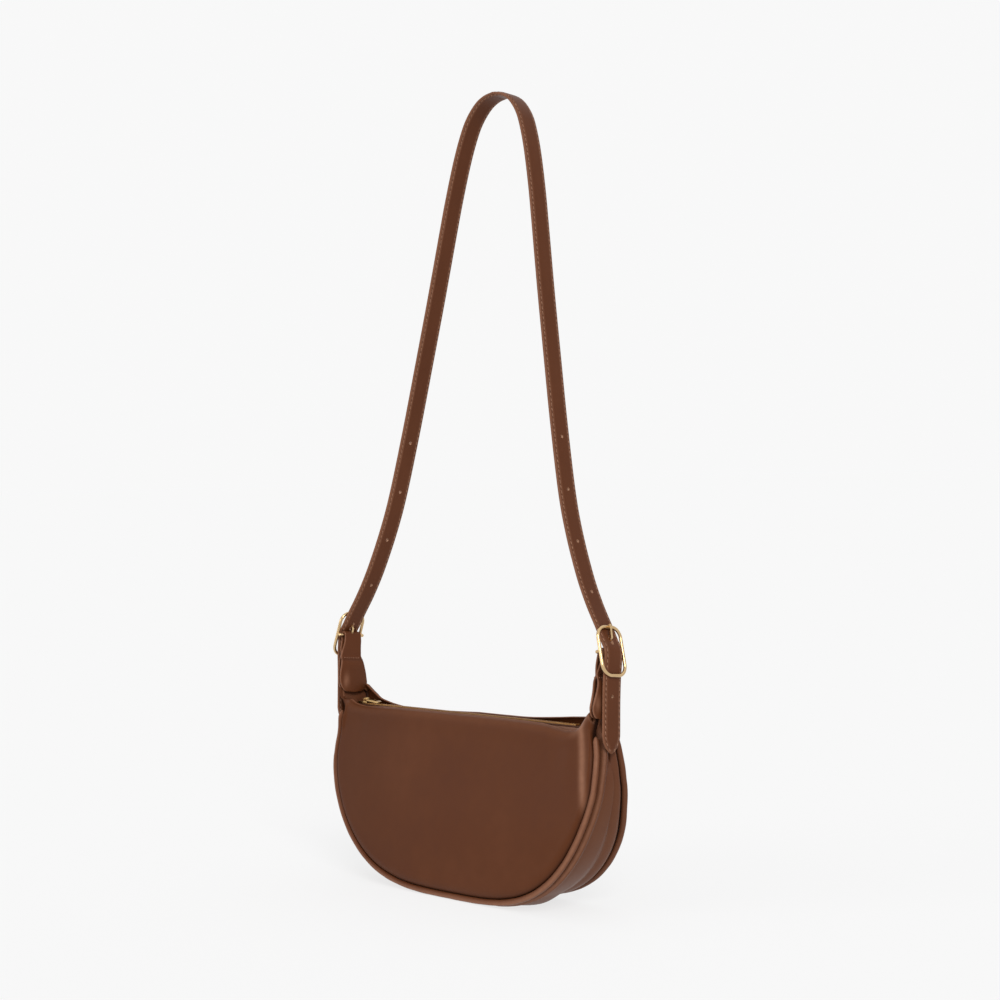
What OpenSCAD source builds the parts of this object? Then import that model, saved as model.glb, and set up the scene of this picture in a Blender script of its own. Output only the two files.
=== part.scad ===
// Half-moon shoulder bag: two D-shaped panels round a gusset, a zipped mouth and a strap held by two buckles.
// Front faces -Y, width runs along X, Z is up, and the origin is under the middle of the bag.

/* [Bag body] */
// Width of the half-moon panels, seam to seam at the widest point
panel_w = 283; // [250:1:310]
// Height of the widest point above the lowest point of the seam
belly_h = 89.5; // [80:0.5:100]
// Height of the front top edge above the ground
mouth_h = 137; // [128:1:146]
// Height of the seam's lowest point above the ground
seam_rise = 5.2; // [4.9:0.1:6.5]
// Depth between the two seams at the foot
foot_depth = 53; // [44:1:62]
// Depth between the two seams at the mouth
mouth_depth = 17; // [15:0.5:20]
// Thickness of the panel leather
leather_t = 2.2; // [1.6:0.1:2.6]
// How far a panel stands proud of its own seam
panel_swell = 4; // [2:0.5:6]
// Width of the band in which a panel rolls down to its seam
edge_roll = 9; // [6:0.5:14]
// Width of the band in which a panel rolls over at the mouth
mouth_roll = 7; // [5:0.5:10]

/* [Gusset and piping] */
// Thickness of the gusset leather
gusset_t = 1.8; // [1.4:0.1:2.2]
// Width of the rolled bead along each edge of the gusset
bead_w = 7; // [5:0.5:8]
// Height of the rolled bead over the seam
bead_h = 6.4; // [5:0.2:7]
// Depth of the valley in the upper gusset, under the strap tails
valley_depth = 2.5; // [1:0.5:6]
// Diameter of the piping cord
piping_d = 4.6; // [3.6:0.2:4.8]
// Height at which the piping ends, under the ears
piping_top_gap = 5; // [3:1:12]

/* [Mouth and zip] */
// Width of the leather facing inside the mouth
facing_h = 14; // [10:1:18]
// Thickness of the facing leather
facing_t = 1.3; // [1:0.1:1.6]
// Thickness of the zip tape
tape_t = 0.6; // [0.4:0.1:0.8]
// How far each end of the zip stops short of the bag's widest point
zip_end_gap = 5.5; // [5:0.5:30]
// Pitch of the zip teeth in one row
tooth_pitch = 2.6; // [2.2:0.1:3.2]
// Height of a zip tooth
tooth_h = 2.2; // [1.8:0.1:2.6]
// Gap between the two rows of teeth, where the slider's post runs
tooth_gap = 1.6; // [1.4:0.1:2]
// How far the zip lies above the front mouth
zip_lift = -1; // [-3:0.5:2]
// Length of the slider
slider_l = 10; // [8:0.5:12]
// Thickness of the slider's plates
slider_t = 1; // [0.8:0.1:1.3]
// Length of the zip pull
pull_l = 17.5; // [14:0.5:22]
// Width of the zip pull
pull_w = 5; // [4:0.5:6]
// Thickness of the zip pull
pull_t = 1.3; // [1:0.1:1.6]
// Angle at which the pull droops below level when it rests
pull_droop = 5; // [0:0.5:6]

/* [Chapes] */
// Width of the leather tab that holds each buckle
chape_w = 16.4; // [15.6:0.2:18]
// Thickness of the tab leather
chape_t = 1.6; // [1.2:0.1:1.8]
// Half-width of the tab's bell-shaped end
pear_r = 13.9; // [13.2:0.1:14.2]
// Height of the middle of the bell above the front mouth
pear_lift = 20; // [19.5:0.5:24]
// How far the middle of the bell lies in front of the bag's middle
pear_ahead = 3; // [0:0.5:4]
// Height of the stitched neck above the middle of the bell
neck_lift = 17; // [16:0.5:19]
// Clearance between a tab and the ear it holds
ear_clear = 0.3; // [0.2:0.1:0.5]

/* [Buckles] */
// Height of the centre bar above the middle of the bell
bar_lift = 34; // [33:0.5:38]
// How far the centre bar stands outside the ear
bar_out = 3.6; // [2.4:0.1:4]
// Diameter of the centre bar
bar_d = 2.6; // [2:0.1:3]
// Diameter of the frame's wire
wire_d = 2.5; // [2:0.1:2.8]
// Length of the frame between wire centres
frame_l = 35.2; // [34:0.4:38]
// Width of the frame between wire centres
frame_w = 23; // [22:0.5:26]
// Corner radius of the frame at the wire's centre
frame_corner_r = 8; // [6:0.5:10]
// How far the centre bar is set back behind the frame
bar_setback = 3.1; // [2.8:0.1:3.6]
// Lean of the frame out of the vertical
frame_tilt = 16; // [12:0.5:18]
// Diameter of the prong's wire
prong_d = 1.8; // [1.4:0.1:2]
// Running clearance between the prong's eye and the bar
eye_clear = 0.08; // [0.05:0.01:0.12]

/* [Strap] */
// Width of the strap
strap_w = 18; // [16:0.5:19]
// Thickness of the strap
strap_t = 2.8; // [2.4:0.1:3]
// Height of the strap's crest above the ground
crest_h = 613; // [523:5:703]
// Backward lean of the strap as it stands
strap_lean = 6; // [0:0.2:10]
// Distance from hole to hole
hole_pitch = 40; // [36:1:44]
// Diameter of the strap holes
hole_d = 2.6; // [2.4:0.2:3.4]
// Length of each strap tail below its buckle
tail_l = 54; // [46:1:56]
// Outside of the tails, measured from the outside of the chape
tail_stand = 5.3; // [5:0.1:8]

/* [Inside] */
// Thickness of the lining cloth
lining_t = 0.8; // [0.6:0.1:1.2]
// Clearance between the lining and the leather
lining_clear = 0.7; // [0.4:0.1:1]
// Width of the slip pocket
pocket_w = 150; // [110:5:170]
// Height of the slip pocket
pocket_h = 75; // [50:5:85]
// Thickness of the board that stiffens the base
board_t = 1.6; // [1.2:0.1:2]
// Length of the base board
board_l = 100; // [80:5:110]

/* [Hidden] */

// Overrun for cuts, and the gap left between sewn pieces
over = 1;
seam_gap = 0.2;
half_w = panel_w / 2;
zip_half_l = half_w - zip_end_gap;
belly_z = seam_rise + belly_h;
pivot_z = mouth_h + pear_lift;
ear_tip_z = pivot_z - 2;
gusset_top_z = pivot_z + pear_r * 0.4;
bar_z = pivot_z + bar_lift;

// Roundness of the half-moon: powers of the sine and cosine that draw its lower part
belly_x_share = 0.576;
belly_z_share = 1.36;
// Points along the upper side of the seam: shares of the half width, and of the rise to the ear's tip
side_shares = [[1, 0], [0.999, 0.2], [0.987, 0.42], [0.97, 0.62],
               [0.978, 0.74], [0.991, 0.84], [0.9925, 0.92], [0.9925, 1]];
// Points along the top edges: shares of the half width, and of the rise from the mouth to the ear's tip
front_brim_shares = [[0, 0], [0.2, 0], [0.4, -0.02], [0.6, -0.07], [0.74, -0.13], [0.84, -0.14], [0.9, -0.02],
                     [0.93, 0.15], [0.95, 0.36], [0.962, 0.38], [0.971, 0.21], [0.98, 0.22], [0.984, 0.45],
                     [0.984, 1]];
back_brim_shares = [[0, 0], [0.2, 0], [0.4, 0], [0.6, 0.04], [0.74, 0.17], [0.82, 0.33], [0.88, 0.45],
                    [0.925, 0.57], [0.95, 0.56], [0.963, 0.42], [0.972, 0.38], [0.981, 0.4], [0.984, 0.6],
                    [0.984, 1]];
// Depth from the seam up to the mouth: shares of that height, and of the way from mouth depth to foot depth
front_depth_shares = [[0, 1], [0.12, 0.99], [0.27, 0.915], [0.42, 0.8], [0.57, 0.63],
                      [0.72, 0.41], [0.8, 0.27], [0.88, 0.13], [1, 0]];
back_depth_shares = [[0, 1], [0.12, 0.985], [0.27, 0.88], [0.42, 0.69], [0.57, 0.4],
                     [0.72, 0.21], [0.8, 0.15], [0.88, 0.09], [1, 0]];

function clamp01(v) = min(1, max(0, v));
function smooth(v) = let (c = clamp01(v)) c * c * (3 - 2 * c);
function mix(a, b, t) = a + (b - a) * t;
function ramp(v, lo, hi) = smooth((v - lo) / (hi - lo));
// A round shoulder: 0 at the edge, 1 from the end of the roll onwards
function shoulder(v) = let (c = 1 - clamp01(v)) sqrt(1 - c * c);

// One point of a smooth curve between p1 and p2
function curve_point(p0, p1, p2, p3, t) =
    0.5 * (2 * p1 + (p2 - p0) * t + (2 * p0 - 5 * p1 + 4 * p2 - p3) * t * t
           + (3 * p1 - p0 - 3 * p2 + p3) * t * t * t);
// A smooth curve through all the points of a list, with n steps in each span
function curve_through(p, n) = concat(
    [for (i = [0 : len(p) - 2], k = [0 : n - 1])
        curve_point(i == 0 ? 2 * p[0] - p[1] : p[i - 1], p[i], p[i + 1],
                    i + 2 < len(p) ? p[i + 2] : 2 * p[i + 1] - p[i], k / n)],
    [p[len(p) - 1]]);
// The point at share t along a list of points
function along(p, t) = let (f = clamp01(t) * (len(p) - 1), i = min(floor(f), len(p) - 2))
    mix(p[i], p[i + 1], f - i);
function lengths(p) = [for (i = 0, s = 0; i < len(p);
    s = s + (i + 1 < len(p) ? norm(p[i + 1] - p[i]) : 0), i = i + 1) s];
// The point at a distance d along a list of points, and the direction there
function at_length(p, d) = let (s = lengths(p), i = max([for (k = [0 : len(p) - 2]) s[k] <= d ? k : 0]))
    [mix(p[i], p[i + 1], (d - s[i]) / (s[i + 1] - s[i])), (p[i + 1] - p[i]) / norm(p[i + 1] - p[i])];
function mirrored(p) = concat([for (i = [len(p) - 1 : -1 : 1]) [-p[i][0], p[i][1]]], p);
function unit(v) = v / norm(v);

// The seam, as [x, z], from the foot to the right ear
belly_steps = 16;
side_steps = 3;
spread_share = 1.35;
seam_half = concat(
    [for (i = [0 : belly_steps - 1]) let (a = 90 * pow(i / belly_steps, spread_share))
        [half_w * pow(sin(a), belly_x_share), seam_rise + belly_h * (1 - pow(cos(a), belly_z_share))]],
    curve_through([for (s = side_shares) [half_w * s[0], mix(belly_z, ear_tip_z, s[1])]], side_steps));
seam = mirrored(seam_half);
seam_n = len(seam);
function brim(shares) = mirrored(curve_through(
    [for (s = shares) [half_w * s[0], mix(mouth_h, ear_tip_z, s[1])]], side_steps));

// Half the depth at a height, from one of the two smoothed tables
front_depth = curve_through(front_depth_shares, side_steps);
back_depth = curve_through(back_depth_shares, side_steps);
function half_depth(z, depth) = mix(mouth_depth, foot_depth,
    lookup((z - seam_rise) / (mouth_h - seam_rise), depth)) / 2;

// A panel is a skin between the seam and the top edge, with rows packed close to both
row_shares = [0, 0.012, 0.04, 0.1, 0.28, 0.55, 0.8, 0.93, 0.985, 1];
lining_row_shares = [0, 0.06, 0.18, 0.35, 0.52, 0.68, 0.84, 1];
all_cols = [for (i = [0 : seam_n - 1]) i];
function skin_out(p, low, high) = panel_swell
    * shoulder(norm(p - low) / edge_roll) * shoulder(norm(p - high) / mouth_roll);
// side is -1 for the front and 1 for the back, inset moves the skin inwards, trim cuts it short of the seam,
// and cols are the points of the seam that it uses
module skin(side, depth, brim_xz, inset, t, rows, cols, trim) {
    nc = len(cols);
    nr = len(rows);
    half = nc * nr;
    sheet = [for (layer = [0, 1], i = cols, r = rows)
        let (low = seam[i], high = along(brim_xz, (i - cols[0]) / (cols[nc - 1] - cols[0])),
             start = min(1, trim / norm(high - low)), p = mix(low, high, mix(start, 1, r)),
             y = half_depth(p[1], depth) + skin_out(p, low, high) - inset - layer * t)
        [p[0], side * y, p[1]]];
    faces = concat(
        [for (i = [0 : nc - 2], r = [0 : nr - 2], k = [0, 1]) let (a = i * nr + r)
            k == 0 ? [a, a + nr, a + 1] : [a + 1, a + nr, a + nr + 1]],
        [for (i = [0 : nc - 2], r = [0 : nr - 2], k = [0, 1]) let (a = half + i * nr + r)
            k == 0 ? [a, a + 1, a + nr] : [a + 1, a + nr + 1, a + nr]],
        [for (i = [0 : nc - 2], e = [0, nr - 1], k = [0, 1]) let (a = i * nr + e, b = a + nr, f = e == 0)
            k == 0 ? (f ? [a, a + half, b] : [a, b, a + half])
                   : (f ? [b, a + half, b + half] : [b, b + half, a + half])],
        [for (r = [0 : nr - 2], e = [0, nc - 1], k = [0, 1]) let (a = e * nr + r, b = a + 1, f = e == 0)
            k == 0 ? (f ? [a, b, a + half] : [a, a + half, b])
                   : (f ? [b, b + half, a + half] : [b, a + half, b + half])]);
    polyhedron(sheet, side < 0 ? [for (f = faces) [f[2], f[1], f[0]]] : faces, convexity = 6);
}

module front_panel() {
    color([0.36, 0.21, 0.14])
        skin(-1, front_depth, brim(front_brim_shares), 0, leather_t, row_shares, all_cols, 0);
}

module back_panel() {
    color([0.36, 0.21, 0.14])
        skin(1, back_depth, brim(back_brim_shares), 0, leather_t, row_shares, all_cols, 0);
}

// Outward direction of the seam at each of its points
function seam_normal(i) = let (a = seam[max(0, i - 1)], b = seam[min(seam_n - 1, i + 1)], d = unit(b - a))
    [d[1], -d[0]];

// Joins rings of points into one closed solid
module sweep(rings) {
    n = len(rings);
    m = len(rings[0]);
    pts = [for (r = rings, p = r) p];
    faces = concat([[for (k = [m - 1 : -1 : 0]) k]],
        [for (i = [0 : n - 2], k = [0 : m - 1], h = [0, 1])
            let (a = i * m + k, b = i * m + (k + 1) % m, c = a + m, d = b + m)
            h == 0 ? [a, b, d] : [a, d, c]],
        [[for (k = [0 : m - 1]) (n - 1) * m + k]]);
    polyhedron(pts, faces, convexity = 8);
}

// The rolled bead: shares of its width from the seam inwards, and of its height
bead_shares = [[0, -0.05], [0.12, 0.4], [0.24, 0.8], [0.45, 1], [0.72, 0.9], [1, 0.66]];
bead_out = leather_t + seam_gap;
ear_rise = seam_gap + gusset_t;
ear_plate_z = mouth_h + pear_lift * 0.3;
// How flat the gusset is at a height: 0 in the bag's side, 1 in the ear
function ear_flat(z) = ramp(z, mouth_h - pear_lift * 0.5, ear_plate_z);
// Height of the gusset's middle over the seam: level with the ground at the foot, sunk under the tails
valley_lo_z = mix(belly_z, mouth_h, 0.1);
valley_mid_z = mix(belly_z, mouth_h, 0.8);
foot_half_l = board_l * 0.55;
// How level the gusset is with the ground: 1 under the base, 0 up the sides
function footing(i) = seam[i][1] < valley_lo_z ? 1 - ramp(abs(seam[i][0]), foot_half_l, half_w * 0.62) : 0;
function middle_out(i) = let (z = seam[i][1], foot = seam_rise + (z + seam_gap - seam_rise) * footing(i),
    side = mix(seam_rise, -valley_depth, ramp(z, valley_lo_z, valley_mid_z)))
    mix(z < valley_lo_z ? foot : side, ear_rise, ear_flat(z));
middle_shares = [0.66, 0.33];
// Nothing sinks below the ground
function capped(i, v) = let (n = seam_normal(i)) n[1] < -0.3 ? min(v, seam[i][1] / -n[1]) : v;
// The ear's plate is crowned a little across its width
ear_crown = 0.25;
function rise(i, v, across) =
    capped(i, mix(v, ear_rise + ear_crown * (1 - across * across), ear_flat(seam[i][1])));
// Outline of the gusset's upper face, from the seam on one side to the middle: [distance from y = 0, rise]
function gusset_side(h, i) = let (w = min(bead_w, 0.7 * h), y0 = h - bead_out, n = len(bead_shares),
    last = bead_h * mix(bead_shares[n - 1][1], 0.9, footing(i)))
    [for (k = [0 : n + len(middle_shares) - 1]) let (s = k < n ? 1 : middle_shares[k - n],
        y = (k < n ? y0 - w * bead_shares[k][0] : (y0 - w) * s))
        [y, rise(i, k < n - 1 ? bead_h * bead_shares[k][1] : mix(middle_out(i), last, s * s), y / y0)]];
function gusset_ring(i) = let (z = seam[i][1], n = seam_normal(i), m = rise(i, middle_out(i), 0),
    f = gusset_side(half_depth(z, front_depth), i), b = gusset_side(half_depth(z, back_depth), i),
    k = len(f), inner = [0, k - 3, k - 2, k - 1],
    top = concat([for (q = f) [-q[0], q[1]]], [[0, m]], [for (j = [k - 1 : -1 : 0]) b[j]]),
    under = concat([for (j = inner) [b[j][0], b[j][1] - gusset_t]], [[0, m - gusset_t]],
                   [for (j = [3 : -1 : 0]) [-f[inner[j]][0], f[inner[j]][1] - gusset_t]]))
    [for (q = concat(top, under)) [seam[i][0] + n[0] * q[1], q[0], seam[i][1] + n[1] * q[1]]];
// Above the last point of the seam the gusset is a flat plate that narrows to its rounded tip
tip_angles = [20, 40, 60, 80];
function tip_ring(side, a) = let (i = side > 0 ? seam_n - 1 : 0, ring = gusset_ring(i), k = cos(a))
    [for (q = ring) [q[0], q[1] * k, ear_tip_z + (gusset_top_z - ear_tip_z) * sin(a)]];

module gusset() {
    color([0.34, 0.2, 0.13]) sweep(concat(
        [for (k = [len(tip_angles) - 1 : -1 : 0]) tip_ring(1, tip_angles[k])],
        [for (i = [seam_n - 1 : -1 : 0]) gusset_ring(i)],
        [for (a = tip_angles) tip_ring(-1, a)]));
}

piping_sides = 8;
piping_ahead = piping_d * 0.15;
piping_top_z = mouth_h - piping_top_gap;
module piping(side, depth) {
    r = piping_d / 2;
    run = [for (i = [0 : seam_n - 1]) if (seam[i][1] < piping_top_z) i];
    first = run[0];
    last = run[len(run) - 1];
    sweep([for (i = run) let (n = seam_normal(i), c = seam[i] + n * (r + seam_gap),
            y = side * (half_depth(seam[i][1], depth) + piping_ahead), e = i == first || i == last ? 0.55 : 1)
        [for (k = [0 : piping_sides - 1]) let (a = 360 * k / piping_sides)
            [c[0] + n[0] * r * e * cos(a), y - r * e * sin(a), c[1] + n[1] * r * e * cos(a)]]]);
}

module front_piping() {
    color([0.4, 0.25, 0.18]) piping(-1, front_depth);
}

module back_piping() {
    color([0.4, 0.25, 0.18]) piping(1, back_depth);
}

// Zip level: the tape lies on top of the two facings
tape_z = mouth_h + zip_lift;
facing_y = mouth_depth / 2 - leather_t - seam_gap;
module facing(side) {
    translate([-zip_half_l, side < 0 ? -facing_y : facing_y - facing_t, tape_z - seam_gap - facing_h])
        cube([2 * zip_half_l, facing_t, facing_h]);
}

module front_facing() {
    color([0.33, 0.2, 0.14]) facing(-1);
}

module back_facing() {
    color([0.33, 0.2, 0.14]) facing(1);
}

stop_l = tooth_pitch * 1.2;
stop_x = zip_half_l - stop_l;
end_stop_x = zip_half_l - pull_l + seam_gap;
tooth_w = tooth_pitch * 0.42;
tooth_len = tooth_gap * 1.35;
teeth_half_l = (end_stop_x + stop_x) / 2 - tooth_pitch;
teeth_mid_x = (end_stop_x - stop_x) / 2;
tape_inner = tooth_gap / 2 + tooth_len * 0.6;
module zip_tape(side) {
    translate([-zip_half_l, side < 0 ? -facing_y : tape_inner, tape_z])
        cube([2 * zip_half_l, facing_y - tape_inner, tape_t]);
}

module front_zip_tape() {
    color([0.3, 0.19, 0.14]) zip_tape(-1);
}

module back_zip_tape() {
    color([0.3, 0.19, 0.14]) zip_tape(1);
}

// A comb of teeth on a thin cord, clamped over the edge of the tape
module zip_teeth(side) {
    n = floor(2 * teeth_half_l / tooth_pitch) - 1;
    x0 = teeth_mid_x - n * tooth_pitch / 2 + (side < 0 ? 0 : tooth_pitch / 2);
    near = tooth_gap / 2;
    spine = tape_inner - seam_gap / 2;
    scale([1, side, 1]) translate([0, 0, tape_z + tape_t / 2 - tooth_h / 2]) linear_extrude(tooth_h) {
        for (i = [0 : n - 1]) translate([x0 + i * tooth_pitch - tooth_w / 2, near])
            square([tooth_w, spine - near]);
        translate([x0 - tooth_w, near + tooth_w]) square([(n - 1) * tooth_pitch + 2 * tooth_w,
                                                          spine - near - tooth_w]);
    }
}

module front_zip_teeth() {
    color([0.83, 0.68, 0.42]) zip_teeth(-1);
}

module back_zip_teeth() {
    color([0.83, 0.68, 0.42]) zip_teeth(1);
}

module zip_top_stops() {
    color([0.83, 0.68, 0.42]) for (side = [-1, 1]) scale([1, side, 1])
        translate([-stop_x - stop_l, tooth_gap / 2, tape_z + tape_t / 2 - tooth_h / 2])
            cube([stop_l, tape_inner - seam_gap / 2 - tooth_gap / 2, tooth_h]);
}

module zip_bottom_stop() {
    w = tape_inner - seam_gap / 2;
    color([0.83, 0.68, 0.42]) translate([end_stop_x, -w, tape_z + tape_t / 2 - tooth_h / 2])
        cube([stop_l, 2 * w, tooth_h]);
}

lining_inset = leather_t + lining_clear;
lining_trim = gusset_t + 2 * lining_clear;
lining_top_z = tape_z - facing_h - 2 * seam_gap;
lining_end_z = lining_top_z - facing_h * 0.4;
// The lining uses some of the points of the seam below the facing
low_cols = [for (i = [0 : seam_n - 1]) if (seam[i][1] < lining_end_z) i];
lining_spans = 20;
lining_cols = [for (k = [0 : lining_spans]) low_cols[round(k * (len(low_cols) - 1) / lining_spans)]];
lining_brim_share = 0.9;
lining_brim = [for (k = [0 : 8]) [half_w * lining_brim_share * (k / 4 - 1), lining_top_z]];
module front_lining() {
    color([0.62, 0.52, 0.4]) skin(-1, front_depth, lining_brim, lining_inset, lining_t, lining_row_shares,
                                  lining_cols, lining_trim);
}

module back_lining() {
    color([0.62, 0.52, 0.4]) skin(1, back_depth, lining_brim, lining_inset, lining_t, lining_row_shares,
                                  lining_cols, lining_trim);
}

// The lining's own gusset is a plain band inside the leather one
module gusset_lining() {
    edge = lining_t + lining_clear + seam_gap;
    color([0.6, 0.5, 0.38]) sweep([for (i = low_cols) let (z = seam[i][1], n = seam_normal(i),
            hf = half_depth(z, front_depth) - edge, hb = half_depth(z, back_depth) - edge,
            drop = min(middle_out(i), bead_h * 0.2) - gusset_t - lining_clear - board_t - seam_gap)
        [for (q = [[-hf, drop - lining_t], [hb, drop - lining_t], [hb, drop], [-hf, drop]])
            [seam[i][0] + n[0] * q[1], q[0], seam[i][1] + n[1] * q[1]]]]);
}

pocket_lift = (lining_top_z - pocket_h) * 0.7;
pocket_t = 1;
pocket_clear = 1;
module slip_pocket() {
    n = 10;
    color([0.58, 0.48, 0.36]) sweep([for (k = [0 : n]) let (z = pocket_lift + pocket_h * k / n,
            y = half_depth(z, back_depth) + panel_swell - leather_t - lining_clear - lining_t - pocket_clear)
        [[-pocket_w / 2, y, z], [pocket_w / 2, y, z], [pocket_w / 2, y - pocket_t, z],
         [-pocket_w / 2, y - pocket_t, z]]]);
}

// The board lies on the gusset leather, under the lining
board_w = foot_depth * 0.45;
board_z = gusset_t + seam_gap;
module base_board() {
    r = board_w * 0.2;
    color([0.5, 0.4, 0.3]) translate([0, 0, board_z]) linear_extrude(board_t) union() {
        square([board_l - 2 * r, board_w], center = true);
        square([board_l, board_w - 2 * r], center = true);
        for (x = [-1, 1], y = [-1, 1]) translate([x * (board_l / 2 - r), y * (board_w / 2 - r)])
            circle(r = r, $fn = 32);
    }
}

// A stiff core inside each ear takes the pull of the strap
core_t = 1.3;
core_w = mouth_depth - 2 * bead_out;
ear_x = half_w * side_shares[len(side_shares) - 1][0];
module ear_core() {
    low = mouth_h + pear_lift * 0.7;
    h = core_w / 2;
    translate([ear_x - core_t, 0, 0]) rotate([90, 0, 90]) linear_extrude(core_t)
        polygon(concat([[h, low], [-h, low]],
            [for (a = [180 : -15 : 0]) [h * cos(a), ear_tip_z + (gusset_top_z - ear_tip_z) * sin(a)]]));
}

module left_ear_core() {
    color([0.55, 0.42, 0.3]) mirror([1, 0, 0]) ear_core();
}

module right_ear_core() {
    color([0.55, 0.42, 0.3]) ear_core();
}

// Everything that leans with the strap is drawn upright on y = 0 and leans about the middle of the bells
module leaning() {
    translate([0, -pear_ahead, pivot_z]) rotate([-strap_lean, 0, 0]) translate([0, 0, -pivot_z]) children();
}

// A ribbon of thickness t along a list of [x, z] points, as one outline
function ribbon(p, t) = let (n = len(p),
    side = [for (i = [0 : n - 1]) let (d = unit(p[min(n - 1, i + 1)] - p[max(0, i - 1)]))
        [-d[1], d[0]] * t / 2])
    concat([for (i = [0 : n - 1]) p[i] + side[i]], [for (i = [n - 1 : -1 : 0]) p[i] - side[i]]);
module upright(w) {
    rotate([90, 0, 0]) translate([0, 0, -w / 2]) linear_extrude(w) children();
}

// The tab: two flat halves beside the ear, a stitched neck, and a fold round the centre bar
bar_x = ear_x + bar_out;
fold_r = bar_d / 2 + 0.06 * bar_d + chape_t / 2;
inner_x = ear_x - core_t - ear_clear - chape_t / 2 - seam_gap;
outer_x = ear_x + seam_gap + gusset_t + ear_clear + chape_t / 2;
neck_x = mix(inner_x, outer_x, 0.5);
neck_half = chape_t / 2 + seam_gap / 2;
neck_z = pivot_z + neck_lift;
plate_top_z = pivot_z + mouth_depth / 2 + pear_ahead + ear_clear;
fold_steps = 10;
chape_pts = concat(
    [[inner_x, pivot_z - pear_r - over], [inner_x, pivot_z], [inner_x, plate_top_z]],
    [[neck_x - neck_half, neck_z], [neck_x - neck_half, neck_z + neck_lift * 0.15]],
    [[mix(neck_x - neck_half, bar_x - fold_r, 0.2), mix(neck_z, bar_z, 0.5)]],
    [for (k = [0 : fold_steps]) let (a = 190 - 210 * k / fold_steps)
        [bar_x + fold_r * cos(a), bar_z + fold_r * sin(a)]],
    [[mix(neck_x + neck_half, bar_x + fold_r, 0.5), mix(neck_z, bar_z, 0.5)]],
    [[neck_x + neck_half, neck_z + neck_lift * 0.15], [neck_x + neck_half, neck_z]],
    [[outer_x, plate_top_z], [outer_x, pivot_z], [outer_x, pivot_z - pear_r - over]]);

// Outline of the tab seen from the side: a strip that flares into a bell. Its half-width and its height over
// the middle of the bell, as shares of the bell's half-width
bell_shares = [[0, -0.9], [0.4, -0.86], [0.68, -0.73], [0.9, -0.48], [1, -0.13], [0.985, 0.08], [0.85, 0.72],
               [0.72, 1.3]];
bell_half = concat(curve_through([for (s = bell_shares) pear_r * s], side_steps),
                   [[chape_w / 2, neck_lift * 1.6], [chape_w / 2, bar_lift + over + pear_r / 2]]);
bell_outline = [for (q = mirrored(bell_half)) [q[0], pivot_z + q[1]]];

eye_wall = 0.9;
eye_r = bar_d / 2 + eye_clear + eye_wall;
slot_w = prong_d + 3 * seam_gap;
slot_r = eye_r + 2 * seam_gap;
module chape() {
    difference() {
        intersection() {
            upright(3 * pear_r) polygon(ribbon(chape_pts, chape_t));
            translate([ear_x - pear_r, 0, 0]) rotate([90, 0, 90])
                linear_extrude(3 * pear_r) polygon(bell_outline);
        }
        translate([bar_x, 0, bar_z]) rotate([90, 0, 0])
            cylinder(h = slot_w, r = slot_r, center = true, $fn = 48);
        translate([bar_x - slot_r, -slot_w / 2, bar_z]) cube([2 * slot_r, slot_w, 3 * slot_r]);
    }
}

module left_chape() {
    color([0.4, 0.25, 0.17]) mirror([1, 0, 0]) leaning() chape();
}

module right_chape() {
    color([0.4, 0.25, 0.17]) leaning() chape();
}

// The buckle stands in its own frame: x outwards, y along the bar, z along the frame, origin at its middle
module at_buckle() {
    translate([bar_x, 0, bar_z]) rotate([0, -frame_tilt, 0]) translate([bar_setback, 0, 0]) children();
}
function buckle_to_xz(n, l) = [bar_x + (bar_setback + n) * cos(frame_tilt) - l * sin(frame_tilt),
                               bar_z + (bar_setback + n) * sin(frame_tilt) + l * cos(frame_tilt)];

wire_fn = 20;
module corner(sy, sz) {
    r = frame_corner_r;
    translate([0, sy * (frame_w / 2 - r), sz * (frame_l / 2 - r)])
        rotate([0, 90, 0]) rotate([0, 0, sz > 0 ? (sy > 0 ? 90 : 180) : (sy > 0 ? 0 : 270)])
            rotate_extrude(angle = 90, $fn = 48) translate([r, 0]) circle(d = wire_d, $fn = wire_fn);
}
module buckle() {
    side_l = frame_l - 2 * frame_corner_r;
    end_l = frame_w - 2 * frame_corner_r;
    at_buckle() union() {
        for (sy = [-1, 1], sz = [-1, 1]) corner(sy, sz);
        for (sy = [-1, 1]) translate([0, sy * frame_w / 2, -side_l / 2])
            cylinder(h = side_l, d = wire_d, $fn = wire_fn);
        for (sz = [-1, 1]) translate([0, end_l / 2, sz * frame_l / 2]) rotate([90, 0, 0])
            cylinder(h = end_l, d = wire_d, $fn = wire_fn);
        translate([-bar_setback, frame_w / 2, 0]) rotate([90, 0, 0])
            cylinder(h = frame_w, d = bar_d, $fn = wire_fn);
        for (sy = [-1, 1]) translate([-bar_setback, sy * frame_w / 2, 0]) {
            rotate([0, 90, 0]) cylinder(h = bar_setback, d = bar_d, $fn = wire_fn);
            sphere(d = bar_d, $fn = wire_fn);
        }
    }
}

module left_buckle() {
    color([0.86, 0.7, 0.45]) mirror([1, 0, 0]) leaning() buckle();
}

module right_buckle() {
    color([0.86, 0.7, 0.45]) leaning() buckle();
}

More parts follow.
